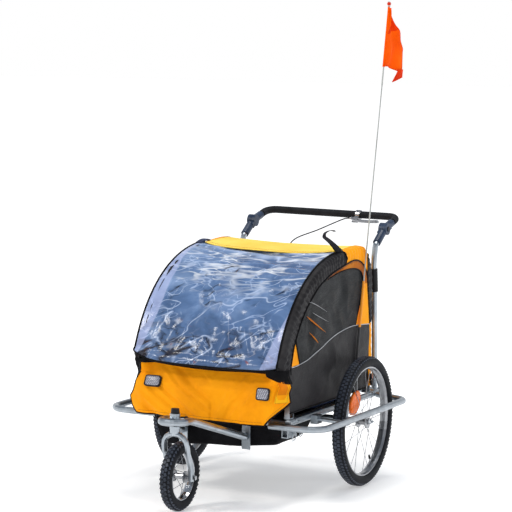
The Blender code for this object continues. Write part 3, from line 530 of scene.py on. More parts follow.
PAINT = {
    "orange": cloth("orange_cloth", (0.82, 0.275, 0.001), (0.94, 0.335, 0.002), (1.0, 0.39, 0.004)),
    # deep orange: the orange cloth in painted shade, for the arch gusset's upper part; also the orange lines
    # on the windows
    "deep_orange": cloth("deep_orange_cloth", (0.30, 0.07, 0.004), (0.44, 0.12, 0.006), (0.60, 0.20, 0.008)),
    # painted shade and painted highlight copies of the orange cloth, for the side tab
    "tab_shade": cloth("tab_shade_cloth", (0.58, 0.145, 0.002), (0.70, 0.19, 0.003), (0.80, 0.24, 0.004)),
    "tab_lit_lip": cloth("tab_lip_cloth", (0.95, 0.42, 0.006), (1.0, 0.50, 0.010), (1.0, 0.56, 0.015)),
    "yellow": cloth("yellow_cloth", (0.90, 0.58, 0.075), (0.95, 0.66, 0.11), (0.98, 0.74, 0.15),
                    rough=(0.6, 0.8)),
    "charcoal": cloth("charcoal_cloth", (0.011, 0.0105, 0.012), (0.019, 0.018, 0.020), (0.033, 0.032, 0.034),
                      rough=(0.36, 0.55), soft=0.8, gloss=0.10, sheen=0.0),
    "black": cloth("black_cloth", (0.003, 0.003, 0.004), (0.006, 0.006, 0.007), (0.012, 0.012, 0.014),
                   gloss=0.03, sheen=0.0),
    "piping": cloth("black_piping", (0.004, 0.004, 0.005), (0.007, 0.007, 0.008), (0.014, 0.014, 0.016),
                    rough=(0.35, 0.5), gloss=0.04, sheen=0.0),
    "grey_piping": cloth("grey_piping", (0.28, 0.29, 0.31), (0.42, 0.43, 0.45), (0.55, 0.56, 0.58),
                         rough=(0.3, 0.5)),
    "webbing": cloth("webbing", (0.006, 0.006, 0.008), (0.014, 0.014, 0.018), (0.03, 0.03, 0.036),
                     weave=420.0),
    "navy_webbing": cloth("navy_webbing", (0.016, 0.022, 0.050), (0.030, 0.040, 0.085), (0.055, 0.07, 0.14),
                          weave=420.0),
    "seat": cloth("seat_lining", (0.035, 0.075, 0.24), (0.060, 0.115, 0.32), (0.09, 0.16, 0.40), sheen=0.3),
    "flag": cloth("flag_nylon", (0.78, 0.060, 0.001), (0.95, 0.100, 0.001), (1.0, 0.15, 0.003), soft=0.35,
                  gloss=0.02, sheen=0.0),
    "flag_shade": cloth("flag_nylon_shade", (0.55, 0.020, 0.001), (0.72, 0.036, 0.001), (0.86, 0.06, 0.002),
                        gloss=0.02, sheen=0.0),
    "thread": plastic("thread", (0.30, 0.12, 0.01), (0.45, 0.18, 0.02), (0.6, 0.8)),
    "dark_thread": plastic("dark_thread", (0.05, 0.05, 0.055), (0.10, 0.10, 0.11), (0.6, 0.8)),
    "zinc": metal("zinc_tube", (0.30, 0.335, 0.37), (0.43, 0.47, 0.51), (0.24, 0.36)),
    "alloy": metal("satin_alloy", (0.28, 0.29, 0.31), (0.42, 0.43, 0.45)),
    "chrome": metal("chrome", (0.40, 0.42, 0.45), (0.66, 0.68, 0.71), (0.05, 0.16), brushed=0.05),
    "tyre": tyre_material(),
    # the tread blocks are lighter and bluer than the tyre: a painted highlight
    "tread": plastic("lit_tread_rubber", (0.020, 0.025, 0.036), (0.070, 0.082, 0.112), (0.30, 0.50)),
    "navy": plastic("navy_plastic", (0.012, 0.022, 0.048), (0.040, 0.062, 0.110), (0.28, 0.45)),
    "black_plastic": plastic("black_plastic", (0.006, 0.006, 0.007), (0.020, 0.020, 0.023), (0.30, 0.48)),
    "foam": plastic("grip_foam", (0.006, 0.007, 0.009), (0.018, 0.020, 0.025), (0.65, 0.85), 0.8, 420.0),
    "cable": plastic("cable_sheath", (0.006, 0.006, 0.007), (0.015, 0.015, 0.017)),
    "pole": plastic("fibreglass", (0.34, 0.35, 0.34), (0.48, 0.49, 0.48)),
    "tip": plastic("tip_plastic", (0.42, 0.012, 0.004), (0.66, 0.035, 0.008), (0.25, 0.4)),
    "netting": netting_material(),
    "vinyl": vinyl_material(),
    "reflector": reflector_material("clear_reflector", (0.16, 0.16, 0.20), (0.62, 0.63, 0.70)),
    "orange_reflector": reflector_material("amber_reflector", (0.88, 0.13, 0.001), (1.0, 0.25, 0.002)),
    "red_reflector": reflector_material("red_reflector", (0.45, 0.01, 0.008), (0.90, 0.04, 0.02)),
    "sleeve": sleeve_material(),
}
SLOT_PAINT = {
    "zinc_steel": "zinc", "alloy": "alloy", "chrome": "chrome", "tyre": "tyre", "navy_plastic": "navy",
    "black_plastic": "black_plastic", "foam": "foam", "orange_fabric": "orange", "yellow_fabric": "yellow",
    "charcoal_fabric": "charcoal", "black_fabric": "black", "clear_vinyl": "vinyl", "seat_fabric": "seat",
    "flag_fabric": "flag", "white_fibreglass": "pole", "cable_black": "cable",
}


def paint_cad():
    for part in frame["record"]["subparts"]:
        paint = "sleeve" if part["node"] == "flag_socket" else SLOT_PAINT[part["material_slot"]]
        materials = frame["nodes"][part["node"]].data.materials
        materials.clear()
        materials.append(PAINT[paint])


# ---------------------------------------------------------------- camera, floor, light
def make_camera():
    turn = 0.4560124679             # the camera's turn about Z, its tilt and its roll, in radians
    tilt = 0.1043672204
    roll = 0.0231282449
    aim = Vector((-0.0909884, 0.184, 0.8523641))
    distance = 8.5556820077
    ahead = Vector((-math.sin(turn) * math.cos(tilt), math.cos(turn) * math.cos(tilt), -math.sin(tilt)))
    right = Vector((math.cos(turn), math.sin(turn), 0))
    up = right.cross(ahead)
    tilted_right = right * math.cos(roll) + up * math.sin(roll)
    tilted_up = up * math.cos(roll) - right * math.sin(roll)
    turned = Matrix([list(row) for row in zip(tilted_right, tilted_up, -ahead)]).to_4x4()
    data = bpy.data.cameras.new("camera")
    data.lens = 154.69
    data.sensor_width = 36.0
    data.clip_end = 200.0
    camera = bpy.data.objects.new("camera", data)
    camera.matrix_world = Matrix.Translation(aim - ahead * distance) @ turned
    bpy.context.scene.collection.objects.link(camera)
    bpy.context.scene.camera = camera
    bpy.context.scene.view_settings.view_transform = "Standard"


def make_floor():
    s = Shader("floor", Specular_IOR_Level=0.1, Emission_Strength=1.0)
    reach = s.add("VectorMath", operation="LENGTH")
    s.tree.links.new(s.where, reach.inputs[0])
    far = s.times(reach.outputs["Value"], 0.1)
    s.feed(s.ramp(far, (0.10, 0.34), (0.45, (0.75, 0.74, 0.72))), "Emission Color")
    s.colour(s.noise(0.8, 2.0), (0.2, 0.90), (0.8, 0.93))
    s.rough(s.noise(2.0), 0.8, 0.9)
    PAINT["floor"] = s.material
    bm = bmesh.new()
    bmesh.ops.create_circle(bm, cap_ends=True, radius=60.0, segments=64)
    floor = solid("floor", bm, "floor", None)
    floor.location.z = -0.0005


def make_light():
    world = bpy.data.worlds.new("studio")
    world.use_nodes = True
    tree = world.node_tree
    where = tree.nodes.new("ShaderNodeTexCoord")
    apart = tree.nodes.new("ShaderNodeSeparateXYZ")
    ramp = tree.nodes.new("ShaderNodeValToRGB")
    low, high = ramp.color_ramp.elements
    low.position = 0.22
    low.color = (1.0, 1.0, 1.0, 1)
    high.position = 0.62
    high.color = (0.26, 0.29, 0.34, 1)
    tree.links.new(where.outputs["Generated"], apart.inputs["Vector"])
    tree.links.new(apart.outputs["Z"], ramp.inputs["Fac"])
    tree.links.new(ramp.outputs["Color"], tree.nodes["Background"].inputs["Color"])
    bpy.context.scene.world = world
    # name, place, size, power, colour
    for name, place, size, energy, tint in (
        ("key_light", (-3.2, -4.5, 5.5), 1.5, 210.0, (1.0, 0.97, 0.92)),
        ("top_light", (0.3, 1.0, 6.0), 2.0, 150.0, (1.0, 0.98, 0.94)),
        ("rim_light", (4.0, 3.5, 3.0), 1.5, 40.0, (0.92, 0.96, 1.0)),
    ):
        data = bpy.data.lights.new(name, "AREA")
        data.size = size
        data.energy = energy
        data.color = tint
        lamp = bpy.data.objects.new(name, data)
        bpy.context.scene.collection.objects.link(lamp)
        lamp.location = place
        lamp.rotation_euler = (Vector((0, 0, 0.5)) - lamp.location).to_track_quat("-Z", "Y").to_euler()


# ---------------------------------------------------------------- cloth between the hoops
def halves(name, rows, paint, stands_for=(), crease=None):
    """A sheet across the whole width, parted at X = 0 into a left and a right half."""
    bm = bmesh.new()
    corners = fill_grid(bm, rows)
    bm.normal_update()
    normals = [[v.normal.copy() for v in row] for row in corners]
    bm.free()
    middle = len(rows[0]) // 2
    for word, pick in (("left", slice(0, middle + 1)), ("right", slice(middle, None))):
        half = sheet_of(f"{name}_{word}", [row[pick] for row in rows], paint)
        half.data.normals_split_custom_set_from_vertices([n for row in normals for n in row[pick]])
        if crease:
            layer = half.data.attributes.new("crease", "FLOAT", "POINT")
            layer.data.foreach_set("value", [c for row in crease for c in row[pick]])
        dress(half, "root", stands_for)
        flatten(half)


def hem(name, word, paths, radius, paint):
    """A bound edge on one half of the cloth."""
    flatten(cord(f"{name}_{word}", paths, radius, paint, "root"))


def on_half(points, side, move=(0, 0, 0)):
    return [v + Vector(move) for v in points if v.x * side >= 0]


def across_steps(count):
    """Even steps from the left edge to the right one, with one exactly in the middle."""
    return [-1 + 2 * k / count for k in range(count + 1)]


def hoop_line():
    """The front and top of a hoop from the cover's lower edge to the roof's rear, as (y, z)."""
    return resample(smooth([(-0.372, 0.494), (-0.374, 0.520)] + bezier(ARCH, 14)[2:], 4), 96)


def cover_line():
    """The clear cover's side edge: over the hoop's cloth, and hanging clear of the hoop at its foot."""
    line = [p for p in offset(hoop_line(), 0.0165) if p.y > 0.53 and p.x < 0.125]
    return resample(smooth([(-0.402, 0.500), (-0.401, 0.515)] + line, 3), 150)


def make_cover():
    line = cover_line()
    total = length_of(line)
    rows = []
    crease = []
    for k, (p, d) in enumerate(zip(line, directions(line))):
        s = k / (len(line) - 1)
        drop = max(0.0, 1 - s / 0.14) ** 2
        share = ease((s - 0.35) / 0.4)
        left_wedge = 0.052 * math.sin(math.pi * min(s * 1.1 + 0.1, 1.0)) - 0.296
        right_wedge = 0.236 + 0.075 * ease((s - 0.08) / 0.42)
        row = []
        marks = []
        for a in across_steps(132):
            x = a * (EDGE_X if a > 0 else FAR_EDGE_X)
            # long folds across the top, slanting folds below, crumples everywhere
            top = folds(x * 0.35 + 0.3 * s, s * total * 1.25, 3.0, 11.0, 1.0)
            slant = folds(x * 0.9 + s * 0.28, s * total * 0.55 - x * 0.75, 8.0, 8.0, 1.0)
            small = folds(x + 4.0, s * total, 5.0, 21.0, 1.0)
            big = top * share + slant * (1 - share)
            hold = (1 - abs(a) ** 6) * min(1.0, (1 - s) * 14 + 0.15) * min(1.0, 0.35 + s * 5)
            sag = (0.006 * ease(1 - s * 3) - 0.012 * ease(s * 2.2)) * (1 - a * a)
            reach = (0.0095 * big + 0.0014 * small) * hold + sag
            lift = COVER_EDGE_LIFT[0] * max(-a, 0) ** 6 + COVER_EDGE_LIFT[1] * max(a, 0) ** 8 + 0.003
            y = p.x - d.y * reach + drop * 0.016 * abs(a) ** 4
            row.append(Vector((x, y, p.y + d.x * reach + drop * lift)))
            # a paler band at both ends of the cover
            pale_band = x < left_wedge if x < 0 else x > right_wedge
            # the crease mark is a painted highlight: paler on fold ridges and in lit streaks across the top
            streak = 0.5 + 0.5 * math.sin(46.0 * s + 5.0 * a + 3.0 * big)
            lit = ease((s - 0.55) / 0.35) * (0.10 + 0.22 * streak * ease(a * 0.8 + 0.7))
            highlight_mark = clamp(0.38 + lit + 0.34 * big + 0.08 * small)
            marks.append(highlight_mark * 0.4 + 0.43 if pale_band else highlight_mark)
        rows.append(row)
        crease.append(marks)
    halves("clear_cover", rows, "vinyl",
           stands_for=["clear_cover"], crease=crease)
    for word, side in SIDES.items():
        edge = [row[0 if side < 0 else -1] for row in rows]
        paths = [on_half(rows[0], side, (0, -0.001, -0.001)), edge]
        hem("cover_hem", word, paths, 0.0038, "piping")


def make_roof():
    """The sunlit roof, which crowns a little between the hoops and rolls over at its rear."""
    crown = smooth([(0.0, 0.884), (0.07, 0.892), (0.15, 0.899), (0.25, 0.904), (0.318, 0.903), (0.346, 0.894),
                    (0.360, 0.872)])
    columns = []
    for a in across_steps(60):
        front = 0.062 + 0.058 * abs(a) ** 3.0
        start = next(i for i, p in enumerate(crown) if p.x >= front)
        before, after = crown[start - 1], crown[start]
        first = before.lerp(after, (front - before.x) / (after.x - before.x))
        x = a * (EDGE_X - 0.003)
        column = []
        for k, p in enumerate(resample([first, *crown[start:]], 60)):
            z = p.y + 0.003 + 0.0022 * folds(x * 0.5, p.x, 21.0, 12.0) * (1 - abs(a) ** 8)
            z -= 0.008 * (1 - a * a) * min(1.0, k / 20)
            z -= 0.006 * (1 - min(1.0, (p.x - front) / 0.10)) * (1 - abs(a) ** 4)
            column.append(Vector((x, p.x, z)))
        columns.append(column)
    rows = [list(row) for row in zip(*columns)]
    halves("roof", rows, "yellow", stands_for=["roof_fabric"])
    for word, side in SIDES.items():
        front = on_half(rows[0], side, (0, -0.001, 0.0012))
        hem("roof_hem", word, [front], 0.0022, "yellow")
        seam = [v + Vector((0, 0.011, 0.0035)) for v in front]
        flatten(stitches(f"roof_stitches_{word}", [seam], Z_AXIS, 0.0062, 0.0040, 0.0011, "thread"))


def make_back():
    """The back cloth, slack between the hoops, with a hem and a wide storage pocket."""
    line = smooth([(0.360, 0.874), (0.378, 0.780), (0.404, 0.620), (0.416, 0.470), (0.418, 0.338)], 10)
    steps = across_steps(60)
    rows = []
    pocket_rows = []
    for k, p in enumerate(resample(line, 70)):
        s = k / 70
        row = []
        for a in steps:
            reach = 0.004 * folds(a * EDGE_X, p.y, 31.0, 8.0) + 0.006 * math.sin(math.pi * s)
            row.append(Vector((a * EDGE_X, p.x + reach * (1 - abs(a) ** 6), p.y)))
        rows.append(row)
        if 0.40 < s < 0.92:
            bulge = 0.010 * math.sin(math.pi * (s - 0.40) / 0.52) ** 0.6
            pocket_rows.append([v + Y_AXIS * (0.004 + bulge * (1 - abs(a / 0.85) ** 4))
                                for v, a in zip(row, steps) if abs(a) < 0.84])
    halves("back_cloth", rows, "orange", stands_for=["back_fabric"])
    halves("back_pocket", pocket_rows, "black")
    for word, side in SIDES.items():
        paths = [on_half(pocket_rows[0], side, (0, 0.001, 0)), on_half(rows[-1], side)]
        hem("back_piping", word, paths, 0.0030, "piping")


# ---------------------------------------------------------------- sides
def hoop_wrap(name, word, centre, inner, paint, pleat, seed, rows_count=150, radius=HOOP_COVER,
              start_x=EDGE_X):
    """Cloth drawn over a hoop and down the outside to an inner line; both lines are (y, z)."""
    side = SIDES[word]
    centre = resample(centre, rows_count)
    total = length_of(centre)
    edge_x = SIDE_X - 0.0005
    rows = []
    for k, (c, i, d) in enumerate(zip(centre, resample(inner, rows_count), directions(centre))):
        out = Vector((-d.y, d.x))
        s = total * k / rows_count
        row = []
        for j in range(23):
            v = j / 22
            turn = math.pi / 2 * min(v / 0.4, 1.0)
            x = HOOP_X + (edge_x - HOOP_X) * math.sin(turn)
            if v < 0.15 and x > start_x:
                x = start_x + (x - start_x) * v / 0.15
            p = c + out * radius * math.cos(turn) if v < 0.4 else c.lerp(i, (v - 0.4) / 0.6)
            shift = 0.9 * noise.noise(Vector((s * 7, seed + side, v * 1.5)))
            wave = math.sin(math.tau * (s / 0.024 + shift) + v * 2.2)
            room = math.sin(math.pi * clamp((v - 0.08) / 0.92)) ** 0.7
            ripple = pleat * (wave * 0.8 + folds(s, v * 0.2, seed + side, 16.0)) * room
            p += out * ripple * 0.6
            row.append(Vector(((x + 0.0012 * room + ripple) * side, p.x, p.y)))
        rows.append(row)
    made = dress(sheet_of(name, rows, paint, flip=side > 0), f"fold_hoop_{word}")
    return rows


def area_of(obj):
    return sum(face.area for face in obj.data.polygons)


def flat_sheet(obj):
    """Work out a sheet's flat size from its own mesh; nothing is done with it."""
    points = [v.co for v in obj.data.vertices]
    wide = max(p.y for p in points) - min(p.y for p in points)
    tall = max(p.z for p in points) - min(p.z for p in points)
    area = area_of(obj)
    wide = max(wide, area / tall)


def patch(name, word, upper, lower, lift, paint, grid, slack, seed, scale, stands_for=()):
    """A side cloth panel between two lines of (y, z), with slack creases."""
    along, down = grid
    rows = []
    for k, (u, w) in enumerate(zip(resample(upper, along), resample(lower, along))):
        row = []
        for j in range(down + 1):
            t = j / down
            p = u.lerp(w, t)
            room = (4 * t * (1 - t)) ** 0.5 * min(1.0, 6 * (k / along) + 0.02)
            crease = folds(p.x + 0.6 * p.y, p.y - 0.3 * p.x, seed, scale, 0.75)
            row.append(Vector(((SIDE_X + lift + slack * crease * room) * SIDES[word], p.x, p.y)))
        rows.append(row)
    made = sheet_of(f"{name}_{word}", rows, paint, flip=word == "left")
    flat_sheet(dress(made, f"fold_hoop_{word}", stands_for))
    return made


# lines of a side, as (y, z)
BAND_INNER = smooth((
    (-0.320, 0.488), (-0.323, 0.508), (-0.313, 0.545), (-0.298, 0.590), (-0.272, 0.632), (-0.234, 0.681),
    (-0.179, 0.732), (-0.098, 0.784), (-0.048, 0.804), (0.003, 0.821), (0.071, 0.836), (0.146, 0.850),
))
ARCH_OUTER = smooth((
    (-0.048, 0.803), (0.003, 0.821), (0.071, 0.836), (0.150, 0.850), (0.204, 0.858), (0.245, 0.858),
    (0.287, 0.848), (0.322, 0.828), (0.346, 0.800), (0.360, 0.750), (0.374, 0.680), (0.384, 0.630),
    (0.388, 0.597),
))
WINDOW_EDGE = smooth((
    (-0.014, 0.808), (0.072, 0.823), (0.161, 0.829), (0.233, 0.826), (0.280, 0.814), (0.302, 0.795),
    (0.311, 0.768), (0.308, 0.738), (0.296, 0.706), (0.278, 0.672), (0.260, 0.636), (0.250, 0.606),
))
LOWER_SEAM = smooth((
    (-0.322, 0.514), (-0.285, 0.514), (-0.249, 0.517), (-0.183, 0.525), (-0.125, 0.539), (-0.058, 0.556),
    (0.005, 0.575), (0.070, 0.590), (0.140, 0.600), (0.203, 0.605), (0.258, 0.605), (0.388, 0.596),
))
REAR_SEAM = smooth((
    (0.352, 0.860), (0.360, 0.780), (0.375, 0.700), (0.388, 0.597), (0.392, 0.480), (0.394, 0.346),
))
PANEL_FOOT = ((-0.322, 0.346), (0.394, 0.346))
WINDOW_LOW = (-0.249, 0.519)            # the window's lower front corner
# name, paint, and for each mark its half width in the middle and three points
WINDOW_MARKS = (
    ("creases", "deep_orange", ((0.0030, (-0.205, 0.690), (-0.150, 0.664), (-0.030, 0.610)),
                                (0.0024, (-0.180, 0.628), (-0.130, 0.600), (-0.095, 0.577)))),
    ("glints", "grey_piping", ((0.0012, (-0.190, 0.742), (-0.130, 0.726), (-0.020, 0.686)),
                               (0.0010, (-0.160, 0.700), (-0.090, 0.675), (-0.010, 0.648)))),
)


def make_hoop_cloth(word, side):
    """The cloth that is wrapped round a hoop, from its front foot over the top to its rear foot."""
    line = hoop_line()
    band_line = [Vector((-0.350, 0.484)), Vector((-0.366, 0.498))]
    band_line += [p for p in line if p.y > 0.505 and (p.x < 0.150 or p.y < 0.8)]
    rows = hoop_wrap(f"side_band_{word}", word, band_line, BAND_INNER, "charcoal", 0.0034, 4.0)
    edges = [[row[-1] + Vector((0.0012 * side, 0, 0)) for row in rows], rows[-1]]
    cord(f"band_piping_{word}", edges, PIPING_R, "piping", f"fold_hoop_{word}")

    leg = smooth([(HOOP_X * side, y, z) for y, z in ((-0.289, 0.362), (-0.289, 0.378), (-0.305, 0.404),
                                                     (-0.365, 0.475), (-0.376, 0.490), (-0.376, 0.520))], 6)
    cord(f"hoop_sleeve_{word}", [leg], 0.0136, "black", f"fold_hoop_{word}", sides=16)

    # the orange flap that the roof sends down over the hoop's top
    top = [p for p in line if p.x > 0.146]
    top += smooth([(0.20, 0.889), (0.27, 0.893), (0.318, 0.891), (0.338, 0.880), (0.352, 0.858)])
    top = sorted({(round(p.x, 4), round(p.y, 4)) for p in top})
    drop = [p for p in ARCH_OUTER if 0.146 <= p.x <= 0.3605 and p.y > 0.745]
    hoop_wrap(f"roof_flap_{word}", word, top, drop, "orange", 0.0016, 9.0, 70, 0.0160, 0.276)

    # charcoal and orange strips down the rear of the hoop
    rear = smooth([(0.360, 0.868), (0.388, 0.815), (0.407, 0.714), (0.409, 0.603)])
    seam = [p for p in REAR_SEAM if 0.35 <= p.x <= 0.389][:-1]
    rear_rows = hoop_wrap(f"rear_band_{word}", word, rear, seam, "charcoal", 0.0016, 14.0, 80,
                          start_x=0.274)
    low = smooth([(0.401, 0.603), (0.414, 0.470), (0.415, 0.350)])
    low_seam = smooth([(0.388, 0.600), (0.392, 0.480), (0.394, 0.350)])
    hoop_wrap(f"rear_strip_{word}", word, low, low_seam, "orange", 0.0008, 18.0, 50,
              start_x=0.274)
    return [row[-1] + Vector((0.001 * side, 0, 0)) for row in rear_rows]


def make_side(word, side):
    body = f"fold_hoop_{word}"
    rear_edge = make_hoop_cloth(word, side)

    seam_run = [Vector((-0.350, 0.500)), *[p for p in LOWER_SEAM if p.x > -0.322]]
    patch("lower_panel", word, PANEL_FOOT, seam_run, 0.0, "charcoal", (90, 40), 0.0080, 2.0 + side, 5.0,
          [f"side_panel_{word}"])
    rise = [Vector(WINDOW_LOW), Vector((-0.268, 0.560))]
    rise += [p for p in BAND_INNER if -0.287 < p.x < -0.016 and p.y > 0.598]
    edge = rise + WINDOW_EDGE
    sill = [Vector(WINDOW_LOW), *[p for p in LOWER_SEAM if -0.24 < p.x < 0.250]]
    patch("window", word, edge, sill, 0.0002, "netting", (130, 46), 0.0085, 6.0 + side, 8.0)
    for name, paint, marks in WINDOW_MARKS:
        bm = bmesh.new()
        for wide, *ends in marks:
            path = smooth([(side * (SIDE_X + 0.0045), y, z) for y, z in ends], 6)
            last = len(path) - 1
            radii = [wide * math.sin(math.pi * (0.04 + 0.92 * k / last)) for k in range(last + 1)]
            add_tube(bm, path, radii, 6)
        solid(f"window_{name}_{word}", bm, paint, body)
    # the arch gusset's upper part is the orange cloth in painted shade (deep orange), its lower part plain
    # orange
    gusset = patch("arch_gusset", word, ARCH_OUTER, [Vector((-0.046, 0.801)), *WINDOW_EDGE], 0.0006,
                   "deep_orange", (130, 14), 0.0022, 7.0 + side, 14.0)
    gusset.data.materials.append(PAINT["orange"])
    for face in gusset.data.polygons:
        face.material_index = int(face.center.z < 0.760)
    patch("corner_gusset", word, [(-0.290, 0.602), (-0.322, 0.516)], [(-0.288, 0.602), (-0.249, 0.518)],
          0.0004, "orange", (20, 10), 0.0012, 11.0, 20.0)

    def on_side(points):
        return [Vector(((SIDE_X + 0.0012) * side, p.x, p.y)) for p in points]

    front_edge = smooth([WINDOW_LOW, (-0.268, 0.560), (-0.287, 0.603)], 5)
    seam = on_side(LOWER_SEAM)
    lines = [on_side(line) for line in (ARCH_OUTER, edge, resample(PANEL_FOOT, 40), front_edge)]
    cord(f"side_piping_{word}", lines + [rear_edge], 0.0030, "piping", body)
    cord(f"reflective_piping_{word}", [seam], 0.0018, "grey_piping", body)
    stitch_lines = [[p - Z_AXIS * 0.008 for p in seam], on_side(offset(ARCH_OUTER, -0.006)[6:-4])]
    stitches(f"side_stitches_{word}", stitch_lines, (side, 0, 0), 0.0065, 0.0040, 0.0010, "dark_thread", body,
             0.0)


# ---------------------------------------------------------------- front panel
LAP_R = 0.0170                # radius of the front panel round a hoop leg
# x of the front panel's edges at a height, as (z, x)
PANEL_LEFT = ((0.303, -0.292), (0.312, -0.302), (0.329, -0.314), (0.363, -0.325), (0.391, -0.306),
              (0.416, -0.297), (0.458, -0.286), (0.488, -0.272), (0.505, -0.268))
PANEL_RIGHT = ((0.303, 0.236), (0.312, 0.243), (0.345, 0.276), (0.372, 0.302), (0.390, 0.316), (0.425, 0.312),
               (0.458, 0.313), (0.488, 0.313))


def lap_y(x, z, gap):
    """y of cloth that passes a gap in front of the hoop legs' sleeves, and back round their outside."""
    beside = max(abs(x) - HOOP_X, 0.0)
    leg_y = max(min(-0.289 - 0.848 * (z - 0.385), -0.289), -0.378)
    return leg_y - gap - 1.31 * math.sqrt(max(LAP_R ** 2 - beside ** 2, 0.0)) + 3.0 * max(beside - LAP_R, 0.0)


def panel_point(x, z, depth=0.0):
    """A point on the front panel's cloth, or in front of it by a depth."""
    y = -0.352 - 0.047 * ease((0.490 - z) / 0.075) + 0.006 * ease((0.345 - z) / 0.05)
    y += (3.3 if x > 0 else 1.0) * max(abs(x) - 0.262, 0.0) ** 1.35
    near_hoop = ease((abs(x) - 0.235) / 0.035)
    y += (min(y, lap_y(x, z, 0.002)) - y) * near_hoop
    lean = x * 0.75 + (z - 0.40) * (1.1 if x < 0.02 else -0.5)
    swell = 0.0100 * folds(lean * 1.2, z * 0.35, 41.0, 9.0)
    swell += 0.0060 * folds(lean * 1.6, z * 0.30 + x * 0.2, 47.0, 13.0, 1.0)
    return Vector((x, y - swell * ease((0.500 - z) / 0.035) * (1 - 0.7 * near_hoop) - depth, z))


def make_front_panel():
    rows = []
    for k in range(71):
        z = 0.303 + 0.199 * k / 70
        left = between(PANEL_LEFT, z)
        right = between(PANEL_RIGHT, z)
        rows.append([panel_point(left + (right - left) * j / 130, z) for j in range(131)])
    panel = dress(sheet_of("front_panel", rows, "orange"), stands_for=["front_fabric"])
    edge = [row[0] for row in reversed(rows)] + rows[0][1:-1] + [row[-1] for row in rows]
    cord("front_piping", [[p + Vector((0, 0.0015, -0.0008)) for p in edge]], 0.0032, "piping")
    low_hem = [panel_point(p.x, p.z + 0.011) for p in rows[0][2:-2]]
    side_hem = [panel_point(row[-1].x - 0.010, row[-1].z) for row in rows[8:66]]
    stitches("front_stitches", [low_hem, side_hem], (0, -1, 0), 0.0060, 0.0038, 0.0010, "thread")


def make_front_strip():
    """The black fold-over between the front panel and the clear cover."""
    rows = []
    for k in range(9):
        t = k / 8
        row = []
        for j in range(91):
            x = -0.290 + 0.608 * j / 90
            low = 0.483 + 0.016 * max(0.0, -x / 0.29) ** 2 + 0.007 * ease(x / 0.2)
            low -= 0.024 * ease((x - 0.230) / 0.075) + 0.010 * ease((x - 0.300) / 0.012)
            z = low + (0.511 - low) * t
            y = -0.366 - 0.014 * t - 0.006 * math.sin(math.pi * t) - 0.0015 * folds(x, z, 51.0, 14.0)
            y += (lap_y(x, z, 0.008) - y) * ease((abs(x) - 0.225) / 0.030)
            row.append(Vector((x, y, z)))
        rows.append(row)
    strip = dress(sheet_of("front_strip", rows, "black"))


def make_tab():
    """The pocket tab on the front panel's near edge."""
    start = 0.281
    rows = []
    for k in range(15):
        v = k / 14
        z = 0.470 - 0.078 * v
        end = between(PANEL_RIGHT, z) + 0.001
        row = []
        for j in range(13):
            depth = 0.003 + 0.003 * math.sin(math.pi * j / 12) + 0.017 * v ** 3
            row.append(panel_point(start + (end - start) * j / 12, z, depth))
        rows.append(row)
    tab = dress(sheet_of("side_tab", rows, "orange", flip=True))
    # painted light on the tab: its upper middle in the painted-shade copy, its upturned lower lip in the
    # painted-highlight copy
    tab.data.materials.append(PAINT["tab_shade"])
    tab.data.materials.append(PAINT["tab_lit_lip"])
    for face in tab.data.polygons:
        row, column = divmod(face.index, 12)
        lip = 12 - 0.10 * (column - 5.5) ** 2
        face.material_index = 1 if row < 9 and 2 <= column < 10 else 2 if row > lip else 0
    edge = [r[1] for r in rows] + rows[-1][2:-1] + [r[-2] for r in reversed(rows)]
    seam = [p - Y_AXIS * 0.0006 for p in edge]
    stitches("tab_stitches", [seam], (0, -1, 0), 0.005, 0.0032, 0.0009, "thread")


def make_front_reflectors():
    for word, x, z, size in (("left", -0.219, 0.427, (0.060, 0.040)), ("right", 0.237, 0.421, (0.046, 0.042))):
        left, right = (panel_point(x + step * size[0] / 2, z) for step in (-1, 1))
        low, high = (panel_point(x, z + step * size[1] / 2) for step in (-1, 1))
        foremost = min(p.y for p in (left, right, low, high, panel_point(x, z)))
        middle = Vector((x, (foremost + (left.y + right.y) / 2) / 2, z))
        make_reflector(f"reflector_front_{word}", middle, (right - left).cross(high - low), size)


def make_reflector(name, middle, facing, size):
    """A rounded rectangular reflector: a crowned prismatic lens in a raised frame."""
    facing.normalize()
    up = (Z_AXIS - facing * facing.z).normalized()
    across = up.cross(facing)

    def ring(share, depth):
        points = []
        for k in range(40):
            turn = math.tau * k / 40
            x = power(math.cos(turn), 0.35) * size[0] / 2 * share
            z = power(math.sin(turn), 0.35) * size[1] / 2 * share
            points.append(middle + across * x + up * z + facing * (depth + 0.003))
        return points

    for part, paint, profile in (
        ("frame", "black_plastic",
         ((1.10, -0.004), (1.12, 0.003), (1.05, 0.0062), (0.96, 0.0058), (0.94, 0.0030))),
        ("lens", "reflector", ((0.93, 0.0031), (0.93, 0.0052), (0.86, 0.0066), (0.45, 0.0074), (0.1, 0.0076))),
    ):
        skin_piece(f"{name}_{part}", [ring(*step) for step in profile], paint)


def make_front_gussets():
    """Black cloth that closes the corner between the front panel and each side."""
    for word, side, edge, low in (("left", -1, PANEL_LEFT, 0.346), ("right", 1, PANEL_RIGHT, 0.376)):
        rows = []
        for k in range(25):
            z = low + (0.500 - low) * k / 24
            start = panel_point(between(edge, z), z, -0.0010)
            end = Vector((side * 0.3065, -0.324 - 0.028 * (z - 0.346) / 0.154, z))
            outer = Vector((side * 0.3100, start.y * 0.7 + end.y * 0.3, z))
            rows.append([start.lerp(outer, j / 10).lerp(outer.lerp(end, j / 10), j / 10) for j in range(11)])
        flat_sheet(dress(sheet_of(f"front_gusset_{word}", rows, "black")))


